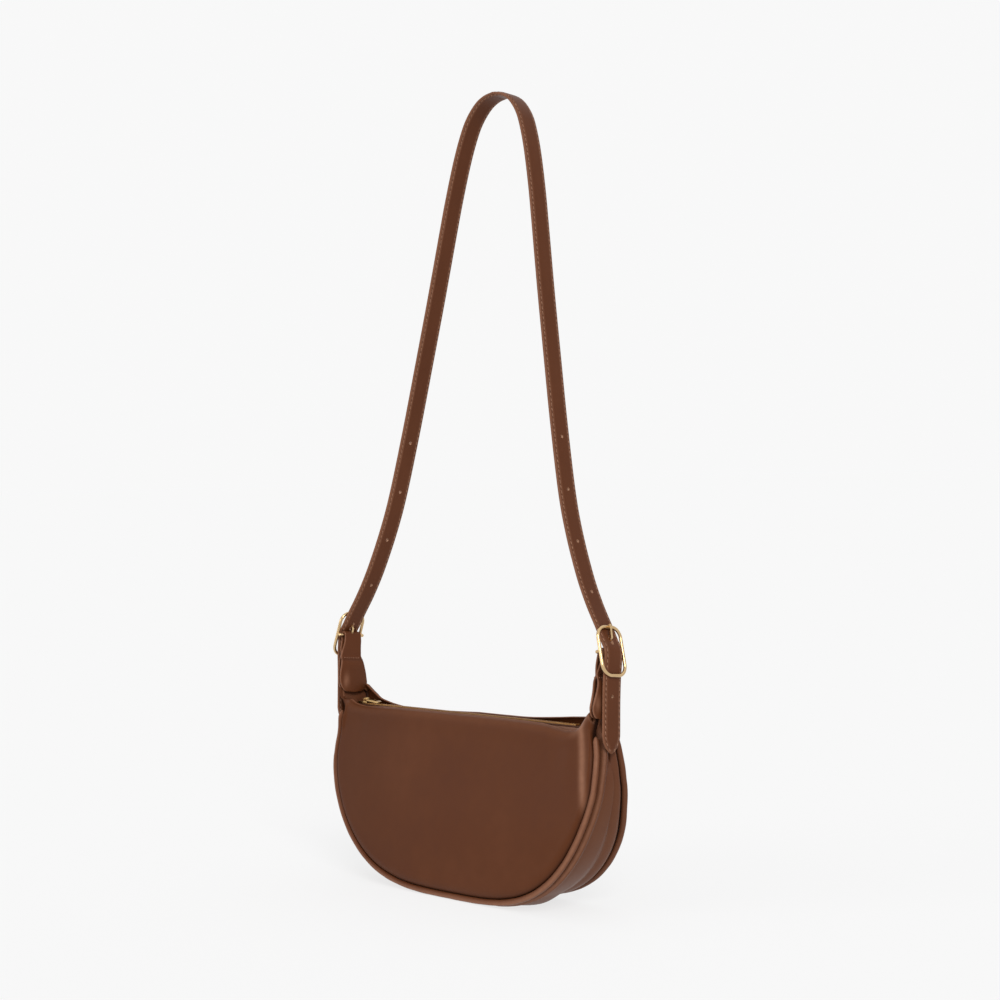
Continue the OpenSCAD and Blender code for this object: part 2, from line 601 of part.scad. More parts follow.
// The prong: an eye round the bar, a flat shank that passes through the strap, and a tip resting on the frame
strap_hold = wire_d / 2 + 3 * seam_gap + strap_t / 2;
bar_hold = bar_d / 2 + 0.06 * bar_d + chape_t + 1.5 * seam_gap + strap_t / 2;
tip_rest = (wire_d + prong_d) / 2 + seam_gap / 2;
cross_lo = 5.2;
cross_hi = 9.6;
tip_over = 1.6;
prong_pts = [[-bar_setback, eye_r - eye_wall / 2], [-bar_setback, cross_lo],
             [tip_rest - seam_gap * 2, cross_hi], [tip_rest, frame_l / 2],
             [tip_rest - seam_gap, frame_l / 2 + tip_over]];
module prong() {
    at_buckle() difference() {
        union() {
            translate([-bar_setback, prong_d / 2, 0]) rotate([90, 0, 0])
                cylinder(h = prong_d, r = eye_r, $fn = 48);
            upright(prong_d) polygon(ribbon(prong_pts, prong_d));
        }
        translate([-bar_setback, 0, 0]) rotate([90, 0, 0])
            cylinder(h = 2 * over + prong_d, r = bar_d / 2 + eye_clear, center = true, $fn = 48);
    }
}

module left_prong() {
    color([0.86, 0.7, 0.45]) mirror([1, 0, 0]) leaning() prong();
}

module right_prong() {
    color([0.86, 0.7, 0.45]) leaning() prong();
}

// The strap's middle line, from its crest to the right tail
under_top = buckle_to_xz(-strap_hold, frame_l / 2);
over_bar = buckle_to_xz(-bar_setback + bar_hold, 0);
under_foot = buckle_to_xz(-strap_hold, -frame_l / 2);
tail_x = outer_x + chape_t / 2 + tail_stand - strap_t / 2;
tail_tip_z = bar_z - frame_l / 2 - tail_l;
// Shares of the way from the bag's middle to the buckle, and of the rise from the buckle to the crest
strap_shares = [[0, 1], [0.07, 0.9955], [0.135, 0.983], [0.198, 0.958], [0.24, 0.928], [0.285, 0.88],
                [0.335, 0.808], [0.377, 0.735], [0.446, 0.612], [0.52, 0.488], [0.595, 0.365],
                [0.68, 0.241], [0.749, 0.167], [0.84, 0.093], [0.918, 0.043], [1, 0]];
strap_ctrl = concat(
    [for (s = strap_shares) [under_top[0] * s[0], mix(under_top[1], crest_h, s[1])]],
    [mix(under_top, over_bar, 0.5), over_bar, mix(over_bar, under_foot, 0.55) + [strap_t * 0.12, 0],
     under_foot, [tail_x, mix(under_foot[1], tail_tip_z, 0.3)],
     [tail_x, mix(under_foot[1], tail_tip_z, 0.65)],
     [tail_x, tail_tip_z - over]]);
strap_half = curve_through(strap_ctrl, side_steps);
strap_line = mirrored(strap_half);
to_buckle = lengths(strap_half)[(len(strap_shares) - 1) * side_steps];
prong_cross_l = (cross_lo + cross_hi) / 2;
prong_hole_at = to_buckle + (frame_l / 2 - prong_cross_l) / cos(frame_tilt);
hole_steps = [-4, -3, -2, -1, 1];
slot_len = 7;
tip_shares = [[1, 1], [0.88, 0.62], [0.63, 0.32], [0.3, 0.1], [0, 0]];
tip_l = strap_w * 0.7;
// Below its buckle a tail swings part of the way back to the vertical
tail_plumb = 0.6;
function tail_y(y, z) = [y + max(0, under_foot[1] - z) * tan(strap_lean) * tail_plumb, z];
strap_side = concat(
    [[-strap_w / 2, crest_h + strap_w], [-strap_w / 2, under_foot[1]]],
    [for (s = tip_shares) tail_y(-strap_w / 2 * s[0], tail_tip_z + tip_l * s[1])],
    [for (i = [len(tip_shares) - 2 : -1 : 0])
        tail_y(strap_w / 2 * tip_shares[i][0], tail_tip_z + tip_l * tip_shares[i][1])],
    [[strap_w / 2, under_foot[1]], [strap_w / 2, crest_h + strap_w]]);

// A cut through the strap at a distance along it, from the crest
module through_strap(d) {
    q = at_length(strap_half, d);
    translate([q[0][0], 0, q[0][1]]) rotate([0, atan2(q[1][0], q[1][1]) + 90, 0]) children();
}
module strap() {
    color([0.42, 0.26, 0.17]) leaning() difference() {
        intersection() {
            upright(strap_w + 2 * over) polygon(ribbon(strap_line, strap_t));
            translate([-half_w - 3 * strap_w, 0, 0]) rotate([90, 0, 90])
                linear_extrude(2 * half_w + 6 * strap_w) polygon(strap_side);
        }
        for (s = [0, 1]) mirror([s, 0, 0]) {
            for (k = hole_steps) through_strap(prong_hole_at + k * hole_pitch)
                cylinder(h = 3 * strap_t, d = hole_d, center = true, $fn = 24);
            through_strap(prong_hole_at) for (e = [-1, 1]) translate([e * (slot_len - hole_d) / 2, 0, 0])
                cylinder(h = 3 * strap_t, d = hole_d, center = true, $fn = 24);
            through_strap(prong_hole_at) cube([slot_len - hole_d, hole_d, 3 * strap_t], center = true);
        }
    }
}

// The slider parks at the closed end; its plates run above and below the teeth, joined by the post
slider_w = 2 * (tape_inner + tooth_len * 0.5);
slider_x = -stop_x + slider_l / 2 + seam_gap;
teeth_top_z = tape_z + tape_t / 2 + tooth_h / 2;
teeth_low_z = tape_z + tape_t / 2 - tooth_h / 2;
post_w = tooth_gap - 3 * seam_gap;
slider_top_z = teeth_top_z + seam_gap + slider_t;
pin_d = 1.2;
eye_outer_d = 2.6;
eye_w = pull_w * 0.5;
lug_t = 0.9;
lug_d = 2.2;
pin_x = slider_x + slider_l * 0.15;
pin_z = slider_top_z + eye_outer_d / 2 + seam_gap;
module zip_slider() {
    w = slider_w / 2;
    color([0.86, 0.7, 0.45]) union() {
        for (z = [teeth_top_z + seam_gap, teeth_low_z - seam_gap - slider_t])
            translate([slider_x, 0, z]) linear_extrude(slider_t)
                polygon([[-slider_l / 2, -w], [slider_l * 0.1, -w], [slider_l / 2, -w * 0.8],
                         [slider_l / 2, w * 0.8], [slider_l * 0.1, w], [-slider_l / 2, w]]);
        translate([slider_x - slider_l * 0.42, -post_w / 2, teeth_low_z - seam_gap - slider_t / 2])
            cube([slider_l * 0.3, post_w, teeth_top_z - teeth_low_z + 2 * seam_gap + slider_t]);
        for (s = [-1, 1]) translate([pin_x, s * (eye_w / 2 + seam_gap + lug_t / 2), pin_z]) {
            rotate([90, 0, 0]) cylinder(h = lug_t, d = lug_d, center = true, $fn = 32);
            translate([-lug_d / 2, -lug_t / 2, slider_top_z - slider_t / 2 - pin_z])
                cube([lug_d, lug_t, pin_z - slider_top_z + slider_t / 2]);
        }
        translate([pin_x, 0, pin_z]) rotate([90, 0, 0])
            cylinder(h = eye_w + 2 * seam_gap + lug_t, d = pin_d, center = true, $fn = 32);
    }
}

// The pull turns on the pin by its eye and droops to its right
module zip_pull() {
    end_r = pull_w / 2;
    neck_l = lug_d / 2 + 2 * seam_gap + eye_outer_d / 2;
    color([0.86, 0.7, 0.45]) translate([pin_x, 0, pin_z]) rotate([0, pull_droop, 0]) difference() {
        union() {
            rotate([90, 0, 0]) cylinder(h = eye_w, d = eye_outer_d, center = true, $fn = 48);
            translate([0, 0, -pull_t / 2]) linear_extrude(pull_t) {
                translate([0, -eye_w / 2]) square([neck_l + over, eye_w]);
                difference() {
                    union() {
                        translate([neck_l, -end_r]) square([pull_l - neck_l - end_r, pull_w]);
                        translate([pull_l - end_r, 0]) circle(r = end_r, $fn = 32);
                    }
                    translate([pull_l * 0.45, -pull_w * 0.2]) square([pull_l * 0.32, pull_w * 0.4]);
                }
            }
        }
        rotate([90, 0, 0]) cylinder(h = eye_w + 2 * over, d = pin_d + 2 * eye_clear, center = true, $fn = 48);
    }
}

front_panel();
back_panel();
gusset();
front_piping();
back_piping();
front_facing();
back_facing();
front_zip_tape();
back_zip_tape();
front_zip_teeth();
back_zip_teeth();
zip_top_stops();
zip_bottom_stop();
front_lining();
back_lining();
gusset_lining();
slip_pocket();
base_board();
left_ear_core();
right_ear_core();
strap();
left_chape();
right_chape();
left_buckle();
right_buckle();
left_prong();
right_prong();
zip_slider();
zip_pull();
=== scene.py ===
import bpy
import bmesh
import math
import numpy as np
from mathutils import Matrix, Vector


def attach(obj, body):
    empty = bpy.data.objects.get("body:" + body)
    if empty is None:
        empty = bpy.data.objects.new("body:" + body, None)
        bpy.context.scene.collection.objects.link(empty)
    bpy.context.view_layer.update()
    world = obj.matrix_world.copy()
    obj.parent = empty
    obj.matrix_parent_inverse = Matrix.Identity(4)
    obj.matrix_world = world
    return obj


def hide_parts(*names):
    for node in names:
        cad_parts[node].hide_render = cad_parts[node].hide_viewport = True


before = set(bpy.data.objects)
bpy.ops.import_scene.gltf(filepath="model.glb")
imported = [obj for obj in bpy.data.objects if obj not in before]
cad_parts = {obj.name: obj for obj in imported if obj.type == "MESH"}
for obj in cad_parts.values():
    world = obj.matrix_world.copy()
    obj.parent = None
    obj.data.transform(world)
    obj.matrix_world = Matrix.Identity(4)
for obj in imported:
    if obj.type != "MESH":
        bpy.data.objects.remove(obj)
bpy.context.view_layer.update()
mm = 0.001
print("frame loaded,", len(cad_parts), "solids")


# lines and rings, all in millimetres

def mix(a, b, t):
    return a + (b - a) * t


def smoothStep(v):
    c = np.clip(v, 0, 1)
    return c * c * (3 - 2 * c)


def ramp(v, low, high):
    return smoothStep((v - low) / (high - low))


def shoulder(v):
    c = 1 - np.clip(v, 0, 1)
    return np.sqrt(1 - c * c)


def curveThrough(points, steps):
    p = np.array(points, float)
    p = np.vstack([2 * p[0] - p[1], p, 2 * p[-1] - p[-2]])
    t = (np.arange(steps) / steps)[:, None]
    spans = []
    for i in range(1, len(p) - 2):
        a, b, c, d = p[i - 1], p[i], p[i + 1], p[i + 2]
        spans.append(0.5 * (2 * b + (c - a) * t + (2 * a - 5 * b + 4 * c - d) * t * t
                            + (3 * b - a - 3 * c + d) * t ** 3))
    return np.vstack(spans + [p[-2:-1]])


def pointAt(line, share):
    at = np.clip(share, 0, 1) * (len(line) - 1)
    i = np.minimum(at.astype(int), len(line) - 2)
    return mix(line[i], line[i + 1], (at - i)[:, None])


def distances(line):
    return np.concatenate([[0], np.cumsum(np.linalg.norm(np.diff(line, axis=0), axis=1))])


def placesAt(line, d, at):
    return np.stack([np.interp(at, d, line[:, k]) for k in (0, 1)], axis=-1)


def evenly(line, spacing):
    d = distances(line)
    at = np.linspace(0, d[-1], max(2, int(round(d[-1] / spacing)) + 1))
    return placesAt(line, d, at)


def bothSides(half):
    left = half[:0:-1] * np.array([-1, 1])
    return np.vstack([left, half])


def directions(line):
    d = np.gradient(line, axis=0)
    return d / np.linalg.norm(d, axis=1)[:, None]


def softNoise(points, size, seed):
    # a few crossing waves, the same every time
    rng = np.random.default_rng(seed)
    total = np.zeros(points.shape[:-1])
    for k in range(7):
        way = rng.normal(size=3)
        way /= np.linalg.norm(way)
        total += np.sin(points @ way * (2 * math.pi / (size * rng.uniform(0.7, 1.5))) + rng.uniform(0, 6.3))
    return total / 3.5


# making a piece out of rings

def makePiece(name, rings, material, body, stands=(), marks=None, sharpAt=50):
    index = np.arange(rings.shape[0] * rings.shape[1]).reshape(rings.shape[:2])
    a, b = index[:-1], index[1:]
    faces = np.stack([a, b, np.roll(b, -1, 1), np.roll(a, -1, 1)], axis=-1).reshape(-1, 4).tolist()
    faces += [index[0].tolist(), index[-1][::-1].tolist()]
    return finishPiece(name, rings.reshape(-1, 3), faces, material, body, stands, marks, sharpAt)


def finishPiece(name, points, faces, material, body, stands=(), marks=None, sharpAt=50):
    mesh = bpy.data.meshes.new(name)
    mesh.from_pydata((points * mm).tolist(), [], faces)
    work = bmesh.new()
    work.from_mesh(mesh)
    bmesh.ops.recalc_face_normals(work, faces=work.faces)
    work.to_mesh(mesh)
    work.free()
    for markName, values in (marks or {}).items():
        mark = mesh.attributes.new(markName, "FLOAT", "POINT")
        mark.data.foreach_set("value", np.ascontiguousarray(values, np.float32).ravel())
    mesh.shade_smooth()
    mesh.set_sharp_from_angle(angle=math.radians(sharpAt))
    piece = bpy.data.objects.new(name, mesh)
    bpy.context.scene.collection.objects.link(piece)
    mesh.materials.append(material)
    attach(piece, body)
    if stands:
        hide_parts(*stands)
    return piece


# shader maths

class Wire:
    # a socket that can be added, multiplied and so on, each of which adds a Math node
    def __init__(self, finish, socket):
        self.finish, self.socket = finish, socket

    def maths(self, operation, a, b):
        return self.finish.add("Math", {"operation": operation}, {0: a, 1: b})

    def __add__(self, other):
        return self.maths("ADD", self, other)

    def __radd__(self, other):
        return self.maths("ADD", other, self)

    def __sub__(self, other):
        return self.maths("SUBTRACT", self, other)

    def __rsub__(self, other):
        return self.maths("SUBTRACT", other, self)

    def __mul__(self, other):
        return self.maths("MULTIPLY", self, other)

    def __rmul__(self, other):
        return self.maths("MULTIPLY", other, self)

    def clamped(self):
        return self.finish.add("Clamp", {}, {0: self})


class Finish:
    # the nodes of a new material, or of the world when it is handed in
    def __init__(self, name, owner=None):
        self.owner = owner or bpy.data.materials.new(name)
        self.owner.use_nodes = True
        self.tree = self.owner.node_tree
        self.tree.nodes.clear()

    def add(self, kind, settings=None, sockets=None, out=0):
        node = self.tree.nodes.new("ShaderNode" + kind)
        for key, value in (settings or {}).items():
            if key == "stops":
                ramps = node.color_ramp.elements
                while len(ramps) < len(value):
                    ramps.new(0.5)
                for stop, (place, colour) in zip(ramps, value):
                    stop.position, stop.color = place, colour
            else:
                setattr(node, key, value)
        for key, value in (sockets or {}).items():
            if isinstance(value, Wire):
                self.tree.links.new(value.socket, node.inputs[key])
            else:
                node.inputs[key].default_value = value
        return Wire(self, node.outputs[out]) if len(node.outputs) else None

    def blend(self, share, a, b):
        return self.add("Mix", {"data_type": "RGBA"}, {0: share, 6: a, 7: b}, out=2)

    def place(self):
        return self.add("TexCoord", out=3)

    def mark(self, name):
        return self.add("Attribute", {"attribute_name": name}, out=2)

    def noise(self, size, detail=2.0, rough=0.5, stretch=None):
        # size is the width of one patch in millimetres
        where = self.place()
        if stretch:
            where = self.add("Mapping", {}, {"Vector": where, "Scale": stretch})
        return self.add("TexNoise", {}, {"Vector": where, "Scale": 1000 / size, "Detail": detail,
                                         "Roughness": rough})

    def wave(self, pitch, way, more=None):
        # pitch is the distance from band to band in millimetres
        return self.add("TexWave", {"bands_direction": way},
                        {"Vector": self.place(), "Scale": 1000 / pitch / 6.3, **(more or {})}, out=1)

    def cells(self, size, feature="F1"):
        return self.add("TexVoronoi", {"feature": feature}, {"Vector": self.place(), "Scale": 1000 / size})

    def bump(self, height, strength, depth, under=None):
        sockets = {"Height": height, "Strength": strength, "Distance": depth * mm}
        if under:
            sockets["Normal"] = under
        return self.add("Bump", {}, sockets)

    def surface(self, sockets):
        shader = self.add("BsdfPrincipled", {}, sockets)
        self.add("OutputMaterial", {}, {"Surface": shader})
        return self.owner


def rgb(r, g, b):
    def linear(v):
        v /= 255
        return v / 12.92 if v < 0.04045 else ((v + 0.055) / 1.055) ** 2.4
    return (linear(r), linear(g), linear(b), 1.0)


# leather, cloth, board and gold

# the dark colour is painted shade, laid in seams, creases, stitch channels and on the left side
leatherLook = {
    "main": rgb(85, 45, 22), "deep": rgb(81, 42, 21), "light": rgb(90, 49, 26), "rubbed": rgb(168, 120, 94),
    "groove": rgb(38, 19, 11), "roughness": 0.42, "gloss": 0.09, "grain": 0.9, "grainDepth": 0.05,
}


def leather(name, look=leatherLook, **changes):
    look = {**look, **changes}
    f = Finish(name)
    patches = f.noise(70, 3, 0.55)
    mottle = f.noise(9, 4, 0.6)
    colour = f.add("ValToRGB", {"stops": [(0.32, look["deep"]), (0.52, look["main"]), (0.74, look["light"])]},
                   {0: patches * 0.75 + mottle * 0.25})
    # the pale colour is wear on cut edges and painted highlights on crests, margins and the bells
    rubbed = f.mark("rubbed") * (0.55 + 0.6 * f.noise(5, 3))
    colour = f.blend((rubbed * 0.75).clamped(), colour, look["rubbed"])
    # painted shade: the dark colour goes where the shade mark says
    colour = f.blend(f.mark("groove").clamped(), colour, look["groove"])
    pores = f.cells(look["grain"], "SMOOTH_F1")
    fine = f.noise(0.5, 3)
    creases = f.noise(26, 3, 0.5, (1, 1, 2.2))
    normal = f.bump(creases, 0.2, 0.6)
    normal = f.bump(pores * 0.7 + fine * 0.3, 0.4, look["grainDepth"], normal)
    roughness = look["roughness"] + 0.1 * (mottle - 0.5) - 0.08 * rubbed + 0.25 * f.mark("groove")
    return f.surface({"Base Color": colour, "Roughness": roughness, "Specular IOR Level": look["gloss"],
                      "Normal": normal})


def cloth(name, warp, weft, thread):
    f = Finish(name)
    waves = [f.wave(thread, way, {"Distortion": 0.6, "Detail": 1.0}) for way in "XZ"]
    weave = waves[0] * 0.5 + waves[1] * 0.5
    colour = f.blend(weave, warp, weft)
    colour = f.blend(0.25 * f.noise(30, 3), colour, warp)
    return f.surface({"Base Color": colour, "Roughness": 0.9, "Specular IOR Level": 0.15,
                      "Normal": f.bump(weave, 0.5, 0.15)})


def board(name):
    f = Finish(name)
    fibres = f.noise(1.2, 5, 0.7)
    colour = f.blend(fibres, rgb(120, 98, 74), rgb(160, 136, 106))
    return f.surface({"Base Color": colour, "Roughness": 0.85, "Normal": f.bump(fibres, 0.3, 0.1)})


def gold(name, roughness, *shades):
    f = Finish(name)
    haze = f.noise(6, 4, 0.6)
    brush = f.noise(0.35, 2, 0.5, (1, 1, 0.15))
    colour = f.blend(haze, *shades)
    return f.surface({"Base Color": colour, "Metallic": 1.0, "Roughness": roughness + 0.12 * haze,
                      "Normal": f.bump(brush, 0.12, 0.02)})


def thread(name, colour):
    f = Finish(name)
    ply = f.wave(0.5, "DIAGONAL")
    return f.surface({"Base Color": f.blend(ply * 0.5, colour, rgb(84, 48, 32)), "Roughness": 0.6,
                      "Specular IOR Level": 0.3, "Normal": f.bump(ply, 0.4, 0.05)})


def painted(name, colour):
    f = Finish(name)
    grit = f.noise(1.5, 4, 0.6)
    return f.surface({"Base Color": f.blend(grit * 0.6, colour, rgb(105, 62, 42)), "Roughness": 0.5,
                      "Specular IOR Level": 0.3, "Normal": f.bump(grit, 0.3, 0.05)})


panelLeather = leather("panelLeather")
# the same leather as the panels, painted lighter: a painted sheen on the gusset
gussetLeather = leather("gussetLeather", main=rgb(96, 58, 38), deep=rgb(91, 53, 35), light=rgb(101, 62, 42),
                        gloss=0.11)
pipingLeather = leather("pipingLeather", main=rgb(92, 52, 31), light=rgb(98, 58, 36), gloss=0.11)
facingLeather = leather("facingLeather", main=rgb(126, 90, 72), light=rgb(136, 99, 80), deep=rgb(112, 78, 62),
                        roughness=0.55)
strapLeather = leather("strapLeather", main=rgb(86, 47, 26), deep=rgb(82, 44, 24), light=rgb(91, 51, 30))
liningCloth = cloth("liningCloth", rgb(168, 146, 116), rgb(190, 170, 140), 0.5)
tapeCloth = cloth("tapeCloth", rgb(62, 36, 23), rgb(80, 48, 32), 0.4)
fibreBoard = board("fibreBoard")
buckleGold = gold("buckleGold", 0.14, rgb(212, 184, 142), rgb(186, 154, 110))
zipGold = gold("zipGold", 0.18, rgb(212, 180, 128), rgb(190, 154, 100))
teethGold = gold("teethGold", 0.3, rgb(204, 158, 98), rgb(168, 122, 74))
strapThread = thread("strapThread", rgb(158, 115, 90))
rawLeather = painted("rawLeather", rgb(205, 165, 135))
print("finishes made")


# the bag's lines

bag = {
    "width": 283, "bellyHeight": 89.5, "mouthHeight": 137, "seamRise": 5.2, "footDepth": 53, "mouthDepth": 17,
    "leather": 2.2, "swell": 4, "edgeRoll": 9, "mouthRoll": 7, "bellLift": 20, "bellHalf": 13.9,
    "seamGap": 0.2, "bellyPowers": (0.576, 1.36), "spread": 1.35, "bellySteps": 16, "fineness": 4,
    "side": [[1, 0], [0.999, 0.2], [0.987, 0.42], [0.97, 0.62], [0.978, 0.74], [0.991, 0.84], [0.9925, 0.92],
             [0.9925, 1]],
    # the top edges as shares of the half width and of the rise to the ear's tip, left half and then right
    "frontBrim": ([[0, 0], [0.2, 0], [0.4, -0.01], [0.6, -0.03], [0.7, -0.06], [0.77, -0.08], [0.83, -0.08],
                   [0.87, -0.06], [0.9, -0.02], [0.93, 0.05], [0.95, 0.14], [0.962, 0.18], [0.975, 0.2],
                   [0.984, 0.45], [0.984, 1]],
                  [[0, 0], [0.2, 0], [0.4, -0.01], [0.6, -0.05], [0.7, -0.14], [0.77, -0.21], [0.83, -0.17],
                   [0.87, 0.01], [0.9, 0.27], [0.93, 0.55], [0.95, 0.62], [0.962, 0.3], [0.975, 0.2],
                   [0.984, 0.45], [0.984, 1]]),
    "backBrim": ([[0, 0], [0.2, -0.06], [0.4, -0.09], [0.6, -0.08], [0.7, 0], [0.77, 0.1], [0.83, 0.22],
                  [0.87, 0.4], [0.9, 0.54], [0.93, 0.69], [0.95, 0.77], [0.962, 0.6], [0.975, 0.44],
                  [0.984, 0.6], [0.984, 1]],
                 [[0, 0], [0.2, 0], [0.4, 0.02], [0.6, 0.13], [0.7, 0.2], [0.77, 0.24], [0.83, 0.28],
                  [0.87, 0.36], [0.9, 0.45], [0.93, 0.56], [0.95, 0.6], [0.962, 0.45], [0.975, 0.38],
                  [0.984, 0.6], [0.984, 1]]),
    "frontDepth": [[0, 1], [0.12, 0.99], [0.27, 0.915], [0.42, 0.8], [0.57, 0.63], [0.72, 0.41], [0.8, 0.27],
                   [0.88, 0.13], [1, 0]],
    "backDepth": [[0, 1], [0.12, 0.985], [0.27, 0.88], [0.42, 0.69], [0.57, 0.4], [0.72, 0.21], [0.8, 0.15],
                  [0.88, 0.09], [1, 0]],
    # the left ear is pulled wider than the right one: how far at the front and the back, and where
    "flare": {-1: 5.2, 1: 4}, "flareFrom": (108, 136), "flareAt": (134, 139),
    "flareEnd": {-1: (170, 180), 1: (144.5, 148.5)},
}
halfWidth = bag["width"] / 2
bellyZ = bag["seamRise"] + bag["bellyHeight"]
mouthZ = bag["mouthHeight"]
pivotZ = mouthZ + bag["bellLift"]
earTipZ = pivotZ - 2
earTopZ = pivotZ + bag["bellHalf"] * 0.4
spanSteps = 3 * bag["fineness"]


def seamHalf():
    steps = bag["bellySteps"] * bag["fineness"]
    a = math.pi / 2 * (np.arange(steps) / steps) ** bag["spread"]
    powerX, powerZ = bag["bellyPowers"]
    belly = np.stack([halfWidth * np.sin(a) ** powerX,
                      bag["seamRise"] + bag["bellyHeight"] * (1 - np.cos(a) ** powerZ)], axis=1)
    side = curveThrough([[halfWidth * x, mix(bellyZ, earTipZ, z)] for x, z in bag["side"]], spanSteps)
    return np.vstack([belly, side])


def brimLine(left, right):
    left, right = (curveThrough([[halfWidth * x, mix(mouthZ, earTipZ, z)] for x, z in shares], spanSteps)
                   for shares in (left, right))
    return np.vstack([left[:0:-1] * np.array([-1, 1]), right])


seam = bothSides(seamHalf())
seamWay = directions(seam)
seamOut = np.stack([seamWay[:, 1], -seamWay[:, 0]], axis=1)
depthTables = {-1: curveThrough(bag["frontDepth"], 8), 1: curveThrough(bag["backDepth"], 8)}


def halfDepth(z, side, x=0.0):
    table = depthTables[side]
    share = np.interp((z - bag["seamRise"]) / (mouthZ - bag["seamRise"]), table[:, 0], table[:, 1])
    wide = ramp(-np.asarray(x, float), *bag["flareAt"]) * ramp(z, *bag["flareFrom"])
    wide = wide * (1 - ramp(z, *bag["flareEnd"][side]))
    return mix(bag["mouthDepth"], bag["footDepth"], share) / 2 + bag["flare"][side] * wide


# panels: lofted shells that roll down to the seam and over at the mouth

panel = {
    "rows": 56, "sag": 1.1, "sagMiddle": 55, "sagSize": (95, 34), "ripple": 0.35, "rippleSize": 85,
    "calm": (4, 30), "cornerDip": 0.9, "cornerAt": (118, 120), "cornerSize": (9, 22), "cornerFade": (14, 10),
    "edgeBow": 0.32, "edgeAt": (0.2, 0.5, 0.8), "edgeRub": 0.4, "seamDark": 1.3,
    # where the leather is painted pale: wear and a painted highlight along the mouth, a painted highlight
    # beside the right ear, and a painted highlight on the right roll
    "brimRub": 0.12, "brimAt": 1.5, "brimWidth": 3.0, "earRub": 0.4, "earFrom": (112, 128), "crestRub": 0.75,
    "crestX": 137, "crestZ": 88, "crestLean": 0.2, "crestWidth": 3.2, "crestFrom": (66, 100), "crestFade": 9,
    # painted shade: how much darker the left side is painted
    "shade": 0.2, "shadeFrom": (30, 138),
}


def panelRings(side, brim, inset, thick, rows, columns=None, lift=0.0, life=1.0):
    use = np.arange(len(seam)) if columns is None else columns
    low = seam[use]
    high = pointAt(brim, np.linspace(0, 1, len(use)))
    along = high - low
    length = np.linalg.norm(along, axis=1)
    start = np.minimum(1, lift / length)
    u = 0.5 - 0.5 * np.cos(np.pi * np.linspace(0, 1, rows))
    share = start[:, None] + (1 - start[:, None]) * u[None, :]
    place = low[:, None, :] + along[:, None, :] * share[..., None]
    fromSeam = share * length[:, None]
    fromBrim = (1 - share) * length[:, None]
    full = shoulder(fromSeam / bag["edgeRoll"]) * shoulder(fromBrim / bag["mouthRoll"])
    out = halfDepth(place[..., 1], side, place[..., 0]) + bag["swell"] * full - inset
    x, z = place[..., 0], place[..., 1]
    calm = full * ramp(fromBrim, *panel["calm"]) * ramp(fromSeam, *panel["calm"]) * life
    wide, tall = panel["sagSize"]
    belly = np.exp(-((x / wide) ** 2) - (((z - panel["sagMiddle"]) / tall) ** 2))
    out = out + panel["sag"] * belly * calm
    spot = np.stack([x, out * side, z], axis=-1)
    out = out + panel["ripple"] * calm * softNoise(spot, panel["rippleSize"], 11 + side)
    cornerX, cornerZ = panel["cornerAt"]
    wide, tall = panel["cornerSize"]
    fadeSeam, fadeBrim = panel["cornerFade"]
    for way in (-1, 1):
        dip = np.exp(-(((x * way - cornerX) / wide) ** 2) - (((z - cornerZ) / tall) ** 2))
        dip = panel["cornerDip"] * dip * life * shoulder(fromSeam / fadeSeam) * shoulder(fromBrim / fadeBrim)
        out = out - dip
    outer = np.stack([x, side * out, z], axis=-1)
    inner = np.stack([x, side * (out - thick), z], axis=-1)
    way = along / length[:, None]
    edges = []
    for end, sign in ((-1, 1), (0, -1)):
        a, b = (outer[:, end], inner[:, end]) if sign > 0 else (inner[:, end], outer[:, end])
        bow = thick * panel["edgeBow"] * sign
        for t in panel["edgeAt"]:
            mid = mix(a, b, t)
            mid[:, 0] += way[:, 0] * bow * math.sin(math.pi * t)
            mid[:, 2] += way[:, 1] * bow * math.sin(math.pi * t)
            edges.append(mid)
    inside = inner[:, ::-1]
    rings = np.concatenate([outer, np.stack(edges[:3], 1), inside, np.stack(edges[3:], 1)], axis=1)
    # painted shade along the seam and on the left side
    seamDark = np.exp(-fromSeam / panel["seamDark"])
    # wear and painted highlight along the mouth; painted highlight beside the right ear and along the roll on
    # the right
    brimRub = np.exp(-((fromBrim - panel["brimAt"]) / panel["brimWidth"]) ** 2)
    crestAt = panel["crestX"] - (z - panel["crestZ"]) * panel["crestLean"]
    crest = np.exp(-((x - crestAt) / panel["crestWidth"]) ** 2) * ramp(z, *panel["crestFrom"])
    crest = crest * shoulder(fromBrim / panel["crestFade"])
    wornAndHighlit = brimRub * (panel["brimRub"] + panel["earRub"] * ramp(x, *panel["earFrom"]))
    wornAndHighlit = wornAndHighlit + crest * panel["crestRub"]
    shade = panel["shade"] * ramp(-x, *panel["shadeFrom"])
    ones = np.ones((len(use), 3))
    groove = np.concatenate([np.maximum(seamDark, shade), 0 * ones, seamDark[:, ::-1], ones], axis=1)
    rubbed = np.concatenate([wornAndHighlit, panel["edgeRub"] * ones, 0 * brimRub, 0 * ones], axis=1)
    return rings, {"groove": groove * life, "rubbed": rubbed * life}


for side, name, shares in ((-1, "front_panel", bag["frontBrim"]), (1, "back_panel", bag["backBrim"])):
    rings, marks = panelRings(side, brimLine(*shares), 0, bag["leather"], panel["rows"])
    makePiece(name + "_leather", rings, panelLeather, "bag_body", [name], marks, sharpAt=80)
print("panels made")


# gusset: one band with a rolled bead along each edge

